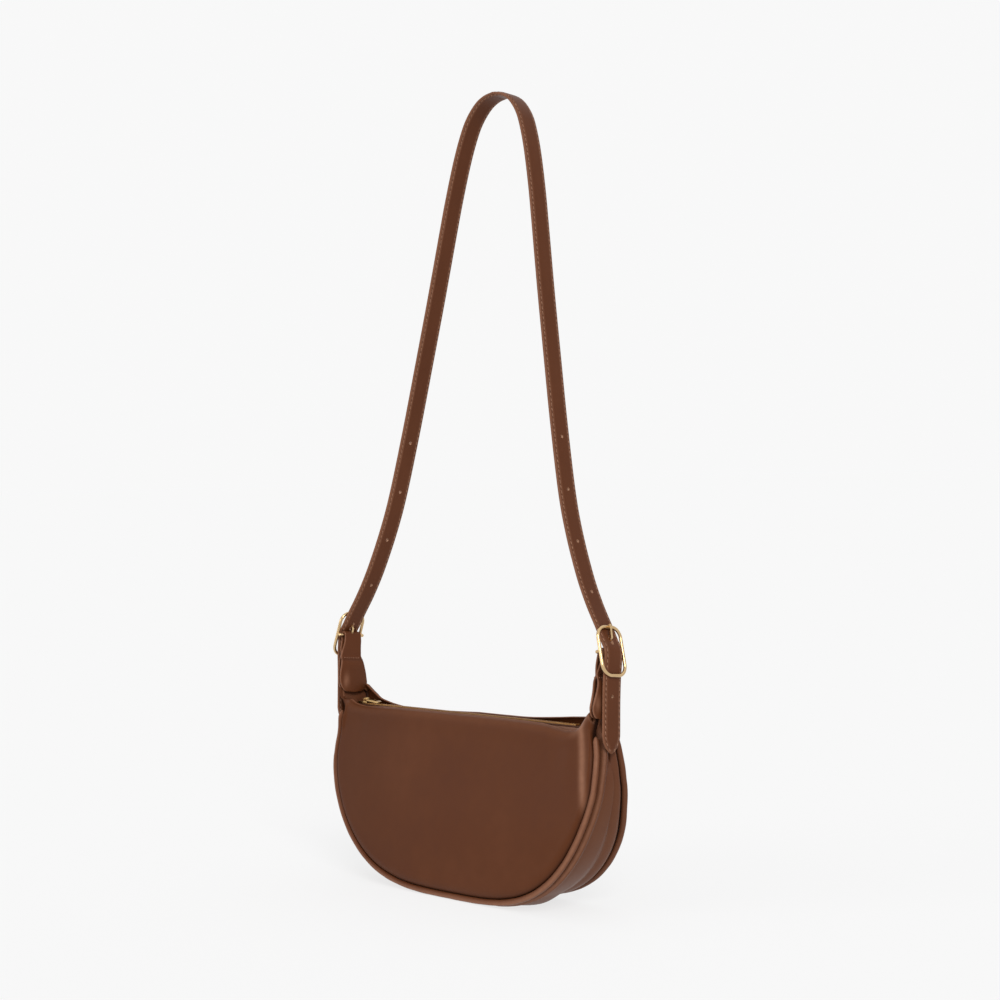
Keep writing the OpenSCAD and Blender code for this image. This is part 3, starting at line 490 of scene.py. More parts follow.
gusset = {
    # each bead's width and height, at the front and at the back
    "thick": 1.8, "beadWidth": {-1: 7, 1: 13}, "beadHeight": {-1: 6.4, 1: 6.4 * 0.72}, "beadMost": 0.7,
    "earEdge": 1.7, "earAt": (-0.5, 0.3), "valley": 2.5, "valleyAt": (0.1, 0.8), "footHalf": 55,
    "footFade": 0.62, "footBead": 0.9, "crown": 0.25, "ripple": 0.25, "rippleSize": 60, "calm": (12, 30),
    "bead": [[0, -0.05], [0.12, 0.4], [0.24, 0.8], [0.45, 1], [0.72, 0.9], [1, 0.66]], "middle": [0.66, 0.33],
    "tipAngles": [10, 20, 30, 40, 50, 60, 70, 80, 86],
    # how much, where and how widely the beads get wear and a painted highlight, and the painted shade at
    # their feet
    "rub": 0.45, "rubs": ((1, 0.125, 0.04), (0.15, 0.875, 0.045)), "darkReach": 0.02, "backDark": 0.3,
}
beadOut = bag["leather"] + bag["seamGap"]
earRise = bag["seamGap"] + gusset["thick"]
valleyLow, valleyMid = (mix(bellyZ, mouthZ, share) for share in gusset["valleyAt"])


def earFlat(z):
    low, high = (mouthZ + bag["bellLift"] * share for share in gusset["earAt"])
    return ramp(z, low, high)


def footing(i):
    x, z = seam[i]
    return (1 - ramp(abs(x), gusset["footHalf"], halfWidth * gusset["footFade"])) if z < valleyLow else 0.0


def middleOut(i):
    z = seam[i][1]
    foot = bag["seamRise"] + (z + bag["seamGap"] - bag["seamRise"]) * footing(i)
    hollow = mix(bag["seamRise"], -gusset["valley"], ramp(z, valleyLow, valleyMid))
    return mix(foot if z < valleyLow else hollow, earRise, earFlat(z))


def rise(i, v, across):
    n, z = seamOut[i][1], seam[i][1]
    v = mix(v, earRise + gusset["crown"] * (1 - across * across), earFlat(z))
    return min(v, z / -n) if n < -0.3 else v


def gussetSide(i, side):
    h = float(halfDepth(seam[i][1], side, seam[i][0]))
    w = min(gusset["beadWidth"][side], gusset["beadMost"] * h)
    high = gusset["beadHeight"][side]
    y0 = h - mix(beadOut, gusset["earEdge"], earFlat(seam[i][1]))
    last = high * mix(gusset["bead"][-1][1], gusset["footBead"], footing(i))
    line = [(y0 - w * s, rise(i, high * r if k < len(gusset["bead"]) - 1 else last, (y0 - w * s) / y0))
            for k, (s, r) in enumerate(gusset["bead"])]
    for s in gusset["middle"]:
        y = (y0 - w) * s
        line.append((y, rise(i, mix(middleOut(i), last, s * s), y / y0)))
    return line


def gussetRing(i):
    front, back = gussetSide(i, -1), gussetSide(i, 1)
    upper = [(-y, r) for y, r in front] + [(0, rise(i, middleOut(i), 0))] + back[::-1]
    upper = curveThrough(upper, 4)
    return np.vstack([upper, (upper - [0, gusset["thick"]])[::-1]])


profile = np.stack([gussetRing(i) for i in range(len(seam))])
band = np.stack([seam[:, None, 0] + seamOut[:, None, 0] * profile[..., 1], profile[..., 0],
                 seam[:, None, 1] + seamOut[:, None, 1] * profile[..., 1]], axis=-1)
upperCount = profile.shape[1] // 2
acrossShare = np.abs(profile[..., 0]) / np.abs(profile[..., 0]).max(axis=1)[:, None]
calm = (1 - acrossShare ** 4) * ramp(seam[:, 1], *gusset["calm"])[:, None]
calm = calm * (1 - earFlat(seam[:, 1]))[:, None]
ripples = gusset["ripple"] * calm * softNoise(band, gusset["rippleSize"], 5)
band[..., 0] += seamOut[:, None, 0] * ripples
band[..., 2] += seamOut[:, None, 1] * ripples


def tipRings(end):
    ring = band[end]
    rings = []
    for a in np.radians(gusset["tipAngles"]):
        tip = ring.copy()
        tip[:, 1] *= math.cos(a)
        tip[:, 2] = earTipZ + (earTopZ - earTipZ) * math.sin(a)
        rings.append(tip)
    return rings


rings = np.stack(tipRings(0)[::-1] + list(band) + tipRings(-1))
tips = len(gusset["tipAngles"])
beadShare = np.linspace(0, 1, upperCount)
# wear and painted highlights on the bead crests, painted shade at their feet
beadTop = sum(share * np.exp(-((beadShare - place) / size) ** 2) for share, place, size in gusset["rubs"])
beadFoot = np.exp(-beadShare / gusset["darkReach"])
beadFoot = beadFoot + gusset["backDark"] * np.exp(-(1 - beadShare) / gusset["darkReach"])
zeros = np.zeros(upperCount)
upright = np.pad(1 - earFlat(seam[:, 1]), tips)[:, None]
makePiece("gusset_leather", rings, gussetLeather, "bag_body", ["gusset"],
          {"rubbed": gusset["rub"] * upright * np.concatenate([beadTop, zeros])[None, :],
           "groove": upright * np.concatenate([beadFoot, zeros])[None, :]}, sharpAt=70)
print("gusset made")


# piping: a corded edge along each seam

piping = {
    "diameter": 4.6, "ahead": 0.69, "topGap": 5, "sides": 20, "endLength": 5, "endShare": 0.02,
    # its diameter is uneven by these shares, over these lengths
    "uneven": ((0.02, 3.1, 0), (0.015, 7.7, 1)),
    # the leather, how strong the painted highlight on its crest and the painted shade at its foot, at the
    # front and at the back
    "look": {-1: (pipingLeather, 0.72, 0.7), 1: (gussetLeather, 0.25, 0.2)},
}


def pipingPiece(name, side):
    r = piping["diameter"] / 2
    run = np.flatnonzero(seam[:, 1] < mouthZ - piping["topGap"])
    n = seamOut[run]
    middle = seam[run] + n * (r + bag["seamGap"])
    y = side * (halfDepth(seam[run, 1], side, seam[run, 0]) + piping["ahead"])
    line = np.stack([middle[:, 0], y, middle[:, 1]], axis=1)
    d = distances(line)
    fromEnd = np.minimum(d, d[-1] - d)
    thin = np.sqrt(1 - (1 - np.clip(fromEnd / piping["endLength"], piping["endShare"], 1)) ** 2)
    uneven = 1
    for share, size, start in piping["uneven"]:
        uneven = uneven + share * np.sin(d / size + start)
    thin = thin * uneven
    a = np.arange(piping["sides"]) * 2 * np.pi / piping["sides"]
    across = (r * thin)[:, None] * np.cos(a)[None, :]
    deep = (r * thin)[:, None] * np.sin(a)[None, :]
    rings = np.stack([line[:, None, 0] + n[:, None, 0] * across, line[:, None, 1] + side * deep,
                      line[:, None, 2] + n[:, None, 1] * across], axis=-1)
    # a painted highlight along one side of the cord and painted shade along the other
    crest = np.clip(np.sin(a) * 0.8 + np.cos(a) * 0.5, 0, 1)[None, :] ** 3 * np.ones((len(run), 1))
    foot = np.clip(-np.sin(a) * 0.6 - np.cos(a) * 0.8, 0, 1)[None, :] ** 4 * np.ones((len(run), 1))
    material, crestRub, footShade = piping["look"][side]
    makePiece(name + "_leather", rings, material, "bag_body", [name],
              {"rubbed": crest * crestRub, "groove": foot * footShade}, sharpAt=80)


pipingPiece("front_piping", -1)
pipingPiece("back_piping", 1)
print("piping made")


# facings, zip tapes and what lies inside

mouth = {"facingHeight": 14, "facing": 1.3, "facingCorner": 0.6, "tape": 0.6, "tapeHalf": 136,
         "tapeCorner": 0.28, "tapeShare": 0.6, "toothGap": 1.6, "toothShare": 1.35, "zipLift": -1,
         "stations": 120}
tapeZ = mouthZ + mouth["zipLift"]
facingY = bag["mouthDepth"] / 2 - bag["leather"] - bag["seamGap"]
toothLength = mouth["toothGap"] * mouth["toothShare"]
tapeInner = mouth["toothGap"] / 2 + toothLength * mouth["tapeShare"]


def roundedSection(y0, y1, z0, z1, r, corner=4):
    points = []
    for cy, cz, start in ((y1 - r, z1 - r, 0), (y0 + r, z1 - r, 90),
                          (y0 + r, z0 + r, 180), (y1 - r, z0 + r, 270)):
        for k in range(corner + 1):
            a = math.radians(start + 90 * k / corner)
            points.append((cy + r * math.cos(a), cz + r * math.sin(a)))
    return np.array(points)


def mouthStrip(name, kind, side, inner, low, high, corner, material):
    y0, y1 = sorted((side * facingY, side * inner))
    loop = roundedSection(y0, y1, low, high, corner)
    rings = np.stack([np.column_stack([np.full(len(loop), x), loop])
                      for x in np.linspace(-mouth["tapeHalf"], mouth["tapeHalf"], mouth["stations"])])
    makePiece(name + kind, rings, material, "bag_body", [name])


facingTop = tapeZ - bag["seamGap"]
for name, side in (("front_facing", -1), ("back_facing", 1)):
    mouthStrip(name, "_leather", side, facingY - mouth["facing"], facingTop - mouth["facingHeight"],
               facingTop, mouth["facingCorner"], facingLeather)
for name, side in (("front_zip_tape", -1), ("back_zip_tape", 1)):
    mouthStrip(name, "_cloth", side, tapeInner, tapeZ, tapeZ + mouth["tape"], mouth["tapeCorner"],
               tapeCloth)

inside = {"lining": 0.8, "clear": 0.7, "inset": 0.6, "liningRows": 24, "every": 3, "liningCorner": 0.35,
          "board": 1.6, "pocket": 1, "pocketWidth": 150, "pocketHeight": 75, "pocketClear": 1,
          "pocketPlace": 0.7, "pocketRows": 26, "pocketCorner": 0.4}
liningTop = tapeZ - mouth["facingHeight"] - 2 * bag["seamGap"]
lowColumns = np.flatnonzero(seam[:, 1] < liningTop - mouth["facingHeight"] * 0.4)[::inside["every"]]
liningBrim = np.array([[halfWidth * 0.9 * (k / 4 - 1), liningTop] for k in range(9)])
for side, name in ((-1, "front_lining"), (1, "back_lining")):
    rings, marks = panelRings(side, liningBrim, bag["leather"] + inside["clear"] + inside["inset"],
                              inside["lining"], inside["liningRows"], lowColumns,
                              gusset["thick"] + 2 * inside["clear"], 0.0)
    makePiece(name + "_cloth", rings, liningCloth, "bag_body", [name], marks, sharpAt=80)

edge = inside["lining"] + inside["clear"] + bag["seamGap"]
liningRings = []
for i in lowColumns:
    drop = min(middleOut(i), gusset["beadHeight"][-1] * 0.2) - gusset["thick"] - inside["clear"]
    drop = drop - inside["board"] - bag["seamGap"]
    front, back = float(halfDepth(seam[i][1], -1)) - edge, float(halfDepth(seam[i][1], 1)) - edge
    loop = roundedSection(-front, back, drop - inside["lining"], drop, inside["liningCorner"])
    liningRings.append(np.column_stack([seam[i][0] + seamOut[i][0] * loop[:, 1], loop[:, 0],
                                        seam[i][1] + seamOut[i][1] * loop[:, 1]]))
makePiece("gusset_lining_cloth", np.stack(liningRings), liningCloth, "bag_body",
          ["gusset_lining"])

pocketRings = []
pocketHalf = inside["pocketWidth"] / 2
pocketLow = (liningTop - inside["pocketHeight"]) * inside["pocketPlace"]
for z in np.linspace(pocketLow, pocketLow + inside["pocketHeight"], inside["pocketRows"]):
    y = float(halfDepth(z, 1)) + bag["swell"] - bag["leather"]
    y = y - inside["clear"] - inside["lining"] - inside["pocketClear"]
    loop = roundedSection(-pocketHalf, pocketHalf, y - inside["pocket"], y, inside["pocketCorner"])
    pocketRings.append(np.column_stack([loop, np.full(len(loop), z)]))
makePiece("slip_pocket_cloth", np.stack(pocketRings), liningCloth, "bag_body",
          ["slip_pocket"])
print("mouth and inside made")


# tabs, strap and their stitches: drawn upright, then leaned back

strap = {
    "width": 18, "thick": 2.8, "crest": 613, "lean": 6, "pitch": 40, "hole": 2.6, "slot": 7.8, "tail": 54,
    "tailStand": 5.3, "tailFrom": 60, "edgeRound": 1.1, "margin": 0.5, "station": 2.2, "tipStations": 22,
    "dome": (0.2, 0.1), "channel": 0.3, "stitchIn": 2.1, "stitch": (3.0, 0.75, 0.6), "stitchPitch": 3.9,
    "stitchSunk": 0.12, "stitchEnd": 0.16, "holesAt": (-4, -3, -2, -1, 0, 1),
    # shares of the way out and of the way up, along a curve that was fitted to the photograph
    "line": [[0, 1], [0.07, 0.9955], [0.135, 0.983], [0.198, 0.958], [0.24, 0.928], [0.285, 0.88],
             [0.335, 0.808], [0.377, 0.735], [0.446, 0.612], [0.52, 0.488], [0.595, 0.365], [0.68, 0.241],
             [0.749, 0.167], [0.84, 0.093], [0.918, 0.043], [1, 0]],
    "tip": [[1, 1], [0.88, 0.62], [0.63, 0.32], [0.3, 0.1], [0, 0]], "tipShare": 0.7, "plumb": 0.6,
}
tab = {
    "width": 16.4, "thick": 1.6, "ahead": 3, "neck": 17, "clear": 0.3, "dome": 1.1, "coreThick": 1.3,
    # each bell: height above its middle, reach to the front, reach to the back
    "leftBell": [[-11.4, -4, 3], [-11, -7.4, 7.4], [-9.6, -9.8, 10.8], [-7.4, -11.8, 12.8], [-4, -13.4, 14],
                 [0, -14.1, 13.2], [4, -14.2, 12.2], [8, -13.8, 10.8], [12, -13.3, 9.4], [17, -12.6, 7.9],
                 [22, -11.5, 7.4], [26, -9.9, 7.5], [29, -8.8, 8], [34, -8.2, 8.2], [50, -8.2, 8.2]],
    "rightBell": [[-13.2, -6.4, 1.5], [-12.8, -8.8, 4.8], [-11.4, -10.6, 8.6], [-9, -12, 11],
                  [-5.5, -12.6, 12.5], [-2, -11.8, 12.8], [2, -10.7, 12], [6, -9.7, 10.6], [10, -9, 9.6],
                  [15, -8.4, 8.8], [20, -8, 8.4], [26, -8, 8.2], [34, -8.2, 8.2], [50, -8.2, 8.2]],
    # how much of the front reach the inner and the outer half have
    "leftShares": (1, 0.8), "rightShares": (0.76, 1),
    # distance from ring to ring, and the closer ones round the bottom of the bells
    "station": 0.8, "closeRun": 3.2, "closeStations": 12, "closeEnd": 3.6,
    # the painted shade in the crease under the neck, and the painted highlight on the front of each bell
    "creaseDrop": 2.6, "creaseWidth": 0.9, "creaseDark": 0.3, "spotRub": 0.55, "spotAt": (-8.6, -2.5),
    "spotSize": (2.4, 5.5),
}
buckle = {"barLift": 34, "barOut": 3.6, "bar": 2.6, "wire": 2.5, "length": 35.2, "width": 23, "setback": 3.1,
          "tilt": 16, "prong": 1.8, "eyeClear": 0.08, "eyeWall": 0.9, "crossLow": 5.2, "crossHigh": 9.6,
          "foldShare": 0.56}
gap = bag["seamGap"]
barZ = pivotZ + buckle["barLift"]
earX = halfWidth * bag["side"][-1][0]
barX = earX + buckle["barOut"]


def leaned(points):
    a = math.radians(strap["lean"])
    y, z = points[..., 1], points[..., 2] - pivotZ
    return np.stack([points[..., 0], y * math.cos(a) + z * math.sin(a) - tab["ahead"],
                     z * math.cos(a) - y * math.sin(a) + pivotZ], axis=-1)


def buckleToXZ(out, up):
    a = math.radians(buckle["tilt"])
    return np.array([barX + (buckle["setback"] + out) * math.cos(a) - up * math.sin(a),
                     barZ + (buckle["setback"] + out) * math.sin(a) + up * math.cos(a)])


# the section of the strap and the tabs: its edge, the painted shade along the line of stitches and the
# margins with a painted highlight
ribbon = {"edgeLeft": 0.28, "domePower": 2.2, "channelWidth": 0.45, "lineWidth": 0.5, "lineDark": 0.35,
          "slope": 3.7, "edgeRub": 0.55, "marginRub": 0.24, "marginFrom": (3.9, 2.9), "frontRub": 0.2,
          "frontFrom": (3.4, 2.6)}
# closer together at the edges and along the lines of stitches
sectionShares = np.array([-1, -0.985, -0.95, -0.9, -0.84, -0.79, -0.76, -0.73, -0.68, -0.62, -0.55, -0.3, 0,
                          0.3, 0.55, 0.62, 0.68, 0.73, 0.76, 0.79, 0.84, 0.9, 0.95, 0.985, 1])


def ribbonRings(line, halfWidths, thick, edgeRound, outDome=0.0, inDome=0.0, channel=0.0, channelIn=2.1,
                margin=0.0):
    # line is [x, z]; the ribbon's outer face is on the left of its direction
    way = directions(line)
    out = np.stack([-way[:, 1], way[:, 0]], axis=1)
    w = np.maximum(halfWidths, 0.05)[:, None]
    v = w * sectionShares[None, :]
    r = np.minimum(edgeRound, w * 0.8)
    fall = np.sqrt(np.clip(1 - np.clip((np.abs(v) - (w - r)) / r, 0, 1) ** 2, 0, 1))
    fall = ribbon["edgeLeft"] + (1 - ribbon["edgeLeft"]) * fall
    dome = 1 - np.clip(np.abs(v) / w, 0, 1) ** ribbon["domePower"]
    dent = channel * np.exp(-((np.abs(v) - (w - channelIn)) / ribbon["channelWidth"]) ** 2)
    slope = margin * ramp(np.abs(v), w - ribbon["slope"], w)
    upper = thick / 2 * fall + np.reshape(outDome, (-1, 1)) * dome - dent - slope
    lower = -thick / 2 * fall - np.reshape(inDome, (-1, 1)) * dome + dent + slope
    v2 = np.concatenate([v, v[:, ::-1]], axis=1)
    n2 = np.concatenate([upper, lower[:, ::-1]], axis=1)
    rings = np.stack([line[:, None, 0] + out[:, None, 0] * n2, v2,
                      line[:, None, 1] + out[:, None, 1] * n2], axis=-1)
    edge = np.clip((np.abs(v2) - (w - r * 0.9)) / (r * 0.9), 0, 1)
    # painted shade along the line of stitches
    line2 = np.exp(-((np.abs(v2) - (w - channelIn)) / ribbon["lineWidth"]) ** 2) if channel else 0 * v2
    wornAndHighlit = ribbon["edgeRub"] * edge
    if margin:
        # the margins outside the stitches get a painted highlight, most along the front of the inner face
        innerFace = np.arange(v2.shape[1]) >= v.shape[1]
        low, high = ribbon["marginFrom"]
        wornAndHighlit = wornAndHighlit + ribbon["marginRub"] * ramp(np.abs(v2), w - low, w - high) * (1 - edge)
        low, high = ribbon["frontFrom"]
        wornAndHighlit = wornAndHighlit + ribbon["frontRub"] * innerFace * ramp(-v2, w - low, w - high) * (1 - edge)
    return rings, {"rubbed": wornAndHighlit, "groove": ribbon["lineDark"] * line2}


def stitchMesh(name, rows, size):
    # each stitch is a short rounded bar, half sunk in the leather and slightly aslant
    places, ways, normals = (np.vstack(part) for part in zip(*rows))
    turns, levels, slant = 6, 4, math.radians(7)
    ball = []
    for k in range(levels + 1):
        a = math.pi * k / levels
        for j in range(turns if 0 < k < levels else 1):
            b = 2 * math.pi * j / turns
            ball.append((-math.cos(a), math.sin(a) * math.cos(b), math.sin(a) * math.sin(b)))
    ball = np.array(ball)
    ball[:, 0] = np.sign(ball[:, 0]) * np.abs(ball[:, 0]) ** 0.6
    faces = []
    for j in range(turns):
        k = (j + 1) % turns
        faces.append((0, 1 + k, 1 + j))
        for level in range(levels - 2):
            a, b = 1 + level * turns, 1 + (level + 1) * turns
            faces.append((a + j, a + k, b + k, b + j))
        a = 1 + (levels - 2) * turns
        faces.append((a + j, a + k, a + turns))
    across = np.cross(normals, ways)
    ways, across = (ways * math.cos(slant) + across * math.sin(slant),
                    across * math.cos(slant) - ways * math.sin(slant))
    points = places[:, None, :]
    for k, line in enumerate((ways, across, normals)):
        points = points + ball[None, :, k:k + 1] * size[k] / 2 * line[:, None, :]
    allFaces = [tuple(v + s * len(ball) for v in face) for s in range(len(places)) for face in faces]
    finishPiece(name, points.reshape(-1, 3), allFaces, strapThread, "strap_body", sharpAt=89)


# the tab: two halves beside the ear, a stitched neck and a fold round the centre bar

foldRadius = buckle["bar"] * buckle["foldShare"] + tab["thick"] / 2
innerX = earX - tab["coreThick"] - tab["clear"] - tab["thick"] / 2 - gap
outerX = earX + gap + gusset["thick"] + tab["clear"] + tab["thick"] / 2
neckX = (innerX + outerX) / 2
neckHalf = tab["thick"] / 2 + gap / 2
neckZ = pivotZ + tab["neck"]
plateTop = pivotZ + bag["mouthDepth"] / 2 + tab["ahead"] + tab["clear"]
bellR = bag["bellHalf"]


def tabLine(bellLow):
    fold = [[barX + foldRadius * math.cos(a), barZ + foldRadius * math.sin(a)]
            for a in np.radians(np.linspace(190, -20, 9))]
    up = [[innerX, bellLow], [innerX, mix(bellLow, pivotZ, 0.5)], [innerX, pivotZ], [innerX, plateTop],
          [neckX - neckHalf, neckZ], [neckX - neckHalf, neckZ + tab["neck"] * 0.15],
          [mix(neckX - neckHalf, barX - foldRadius, 0.2), mix(neckZ, barZ, 0.5)]]
    down = [[mix(neckX + neckHalf, barX + foldRadius, 0.5), mix(neckZ, barZ, 0.5)],
            [neckX + neckHalf, neckZ + tab["neck"] * 0.15], [neckX + neckHalf, neckZ], [outerX, plateTop],
            [outerX, pivotZ], [outerX, mix(bellLow, pivotZ, 0.5)], [outerX, bellLow]]
    return curveThrough(up + fold + down, 12)


def tabRings(bell, shares):
    line = evenly(tabLine(pivotZ + bell[0][0]), tab["station"])
    d = distances(line)
    near = tab["closeRun"] * (1 - np.cos(np.linspace(0, math.pi / 2, tab["closeStations"])))
    far = d[(d > tab["closeEnd"]) & (d < d[-1] - tab["closeEnd"])]
    at = np.concatenate([near, far, (d[-1] - near)[::-1]])
    line = placesAt(line, d, at)
    inBell = 1 - ramp(line[:, 1], pivotZ + bellR * 0.7, neckZ - 2)
    reach = curveThrough(bell, 6)
    front, back = (np.interp(line[:, 1] - pivotZ, reach[:, 0], reach[:, k]) for k in (1, 2))
    half = np.arange(len(line)) < len(line) / 2
    front = front * mix(1, np.where(half, *shares), 1 - ramp(line[:, 1], pivotZ + 4, barZ - 8))
    rings, marks = ribbonRings(line, (back - front) / 2, tab["thick"], 0.7, outDome=tab["dome"] * inBell)
    rings[..., 1] += (back + front)[:, None] / 2
    # painted shade in the crease under the neck and a painted highlight on the bell's front
    crease = np.exp(-((line[:, 1] - neckZ + tab["creaseDrop"]) / tab["creaseWidth"]) ** 2)[:, None]
    marks["groove"] = marks["groove"] + tab["creaseDark"] * crease
    y, up = rings[..., 1], line[:, None, 1] - pivotZ
    (spotY, spotUp), (wide, tall) = tab["spotAt"], tab["spotSize"]
    spot = np.exp(-((y - spotY) / wide) ** 2 - ((up - spotUp) / tall) ** 2)
    marks["rubbed"] = marks["rubbed"] + tab["spotRub"] * spot
    return line, rings, marks


def mirroredX(points):
    return points * np.array([-1, 1, 1])


def cutWith(piece, cutters, wallMaterial=None):
    # bores with round or slotted cutters; the walls of a bore may have their own material
    joined = bmesh.new()
    for cutter in cutters:
        joined.from_mesh(cutter)
        bpy.data.meshes.remove(cutter)
    mesh = bpy.data.meshes.new("cutters")
    joined.to_mesh(mesh)
    joined.free()
    tool = bpy.data.objects.new("cutters", mesh)
    bpy.context.scene.collection.objects.link(tool)
    if wallMaterial:
        piece.data.materials.append(wallMaterial)
        mesh.materials.append(wallMaterial)
    step = piece.modifiers.new("bores", "BOOLEAN")
    step.operation, step.object, step.solver = "DIFFERENCE", tool, "EXACT"
    step.material_mode = "TRANSFER"
    depsgraph = bpy.context.evaluated_depsgraph_get()
    made = bpy.data.meshes.new_from_object(piece.evaluated_get(depsgraph))
    piece.modifiers.clear()
    old = piece.data
    piece.data = made
    made.set_sharp_from_angle(angle=math.radians(50))
    bpy.data.meshes.remove(old)
    bpy.data.objects.remove(tool)
    bpy.data.meshes.remove(mesh)


def rodMesh(place, way, length, radius, stretch, stretchWay, sides=24):
    # a rod along way, with its section stretched along stretchWay
    way = Vector(way).normalized()
    other = (Vector(stretchWay) - way * way.dot(Vector(stretchWay))).normalized()
    third = way.cross(other)
    points = []
    for end in (-0.5, 0.5):
        middle = Vector(place) + way * length * end
        for k in range(sides):
            a = 2 * math.pi * (k + 0.5) / sides
            far = radius * math.cos(a) + (stretch / 2 if math.cos(a) > 0 else -stretch / 2)
            points.append((middle + other * far + third * radius * math.sin(a)) * mm)
    faces = [[k, (k + 1) % sides, sides + (k + 1) % sides, sides + k] for k in range(sides)]
    faces += [list(range(sides))[::-1], list(range(sides, 2 * sides))]
    mesh = bpy.data.meshes.new("rod")
    mesh.from_pydata([tuple(p) for p in points], [], faces)
    return mesh


slotWide = buckle["prong"] + 3 * gap
slotRadius = buckle["bar"] / 2 + buckle["eyeClear"] + buckle["eyeWall"] + 2 * gap
for name, flip in (("right_chape", 1), ("left_chape", -1)):
    hand = "right" if flip > 0 else "left"
    tabPath, upright, tabMarks = tabRings(tab[hand + "Bell"], tab[hand + "Shares"])
    rings = leaned(upright)
    rings = rings if flip > 0 else mirroredX(rings)
    piece = makePiece(name + "_leather", rings, strapLeather, "strap_body", [name], tabMarks)
    x = barX * flip
    a = leaned(np.array([[x, 0, barZ], [x, 1, barZ], [x, 0, barZ + 1.5 * slotRadius]]))
    cutWith(piece, [rodMesh(a[0], a[1] - a[0], slotWide, slotRadius, 3 * slotRadius, a[2] - a[0])])
print("tabs made")


# the strap's middle line, from its crest to the right tail

strapHold = buckle["wire"] / 2 + 3 * gap + strap["thick"] / 2
barHold = buckle["bar"] * buckle["foldShare"] + tab["thick"] + 1.5 * gap + strap["thick"] / 2
underTop = buckleToXZ(-strapHold, buckle["length"] / 2)
overBar = buckleToXZ(-buckle["setback"] + barHold, 0)
underFoot = buckleToXZ(-strapHold, -buckle["length"] / 2)
tailX = outerX + tab["thick"] / 2 + strap["tailStand"] - strap["thick"] / 2
tailTipZ = barZ - buckle["length"] / 2 - strap["tail"]
upperLine = [[underTop[0] * x, mix(underTop[1], strap["crest"], z)] for x, z in strap["line"]]
lowerLine = [mix(underTop, overBar, 0.5), overBar, mix(overBar, underFoot, 0.55) + [strap["thick"] * 0.12, 0],
             underFoot, [tailX, mix(underFoot[1], tailTipZ, 0.3)], [tailX, mix(underFoot[1], tailTipZ, 0.65)],
             [tailX, tailTipZ]]
strapHalf = curveThrough(upperLine + lowerLine, 12)
strapD = distances(strapHalf)
toBuckle = strapD[(len(upperLine) - 1) * 12]
prongHole = toBuckle + (buckle["length"] / 2 - (buckle["crossLow"] + buckle["crossHigh"]) / 2) / math.cos(
    math.radians(buckle["tilt"]))
tipLength = strap["width"] * strap["tipShare"]


def strapPoint(at):
    return placesAt(strapHalf, strapD, at)


def strapHalfWidth(z, tail):
    up = np.clip((z - tailTipZ) / tipLength, 0, 1)
    shares = np.array(strap["tip"])[::-1]
    narrow = np.interp(up, shares[:, 1], shares[:, 0])
    return strap["width"] / 2 * np.where(tail, narrow, 1)


def tailSwing(z):
    # below its buckle a tail hangs nearer the vertical than the strap above
    return np.clip(underFoot[1] - z, 0, None) * math.tan(math.radians(strap["lean"])) * strap["plumb"]


body = np.arange(0, strapD[-1] - tipLength, strap["station"])
tip = strapD[-1] - tipLength * (1 - np.sin(np.linspace(0, math.pi / 2, strap["tipStations"])))
strapAt = np.concatenate([body, tip])
strapLine = bothSides(strapPoint(strapAt))
onTail = strapAt > toBuckle + strap["tailFrom"]
onTail = np.concatenate([onTail[:0:-1], onTail])
strapUpright, strapMarks = ribbonRings(strapLine, strapHalfWidth(strapLine[:, 1], onTail), strap["thick"],
                                       strap["edgeRound"], *strap["dome"], strap["channel"],
                                       strap["stitchIn"], strap["margin"])
strapUpright[..., 1] += tailSwing(strapLine[:, 1])[:, None]
strapPiece = makePiece("strap_leather", leaned(strapUpright), strapLeather, "strap_body",
                       ["strap"], strapMarks)
cutters = []
for flip in (1, -1):
    for k in strap["holesAt"]:
        at = prongHole + k * strap["pitch"]
        here, ahead = strapPoint(at), strapPoint(at + 0.5)
        way = (ahead - here) / np.linalg.norm(ahead - here)
        ends = leaned(np.array([[here[0], 0, here[1]], [here[0] - way[1], 0, here[1] + way[0]],
                                [here[0] + way[0], 0, here[1] + way[1]]]))
        ends = ends if flip > 0 else mirroredX(ends)
        cutters.append(rodMesh(ends[0], ends[1] - ends[0], 3 * strap["thick"], strap["hole"] / 2,
                               strap["slot"] - strap["hole"] if k == 0 else 0.0, ends[2] - ends[0]))
cutWith(strapPiece, cutters, rawLeather)
print("strap made")


# two rows of stitches on both faces of the strap, and one across each neck

last = strapD[-1] - tipLength * strap["stitchEnd"]
at = np.arange(strap["stitchPitch"] / 2, last, strap["stitchPitch"])
onTail = at > toBuckle + strap["tailFrom"]
here, ahead = strapPoint(at), strapPoint(at + 0.5)
way = (ahead - here) / np.linalg.norm(ahead - here, axis=1)[:, None]
out = np.stack([-way[:, 1], way[:, 0]], axis=1)
rows = []
for face in (1, -1):
    for edgeSide in (1, -1):
        for flip in (1, -1):
            p = here + out * face * (strap["thick"] / 2 - strap["stitchSunk"] - strap["margin"] * 0.3)
            fromEdge = strapHalfWidth(here[:, 1], onTail) - strap["stitchIn"]
            y = edgeSide * fromEdge + tailSwing(here[:, 1])
            rowPoints = np.stack([p[:, 0], y, p[:, 1]], axis=1)
            rowWays = np.stack([way[:, 0], np.gradient(y) / strap["stitchPitch"], way[:, 1]], axis=1)
            rowWays /= np.linalg.norm(rowWays, axis=1)[:, None]
            rowOut = np.stack([out[:, 0] * face, 0 * y, out[:, 1] * face], axis=1)
            start, toWay, toOut = leaned(rowPoints), leaned(rowPoints + rowWays), leaned(rowPoints + rowOut)
            rowWays, rowOut = toWay - start, toOut - start
            turn = np.array([flip, 1, 1])
            rows.append((start * turn, rowWays * turn, rowOut * turn))
stitchMesh("strap_stitches", rows, strap["stitch"])

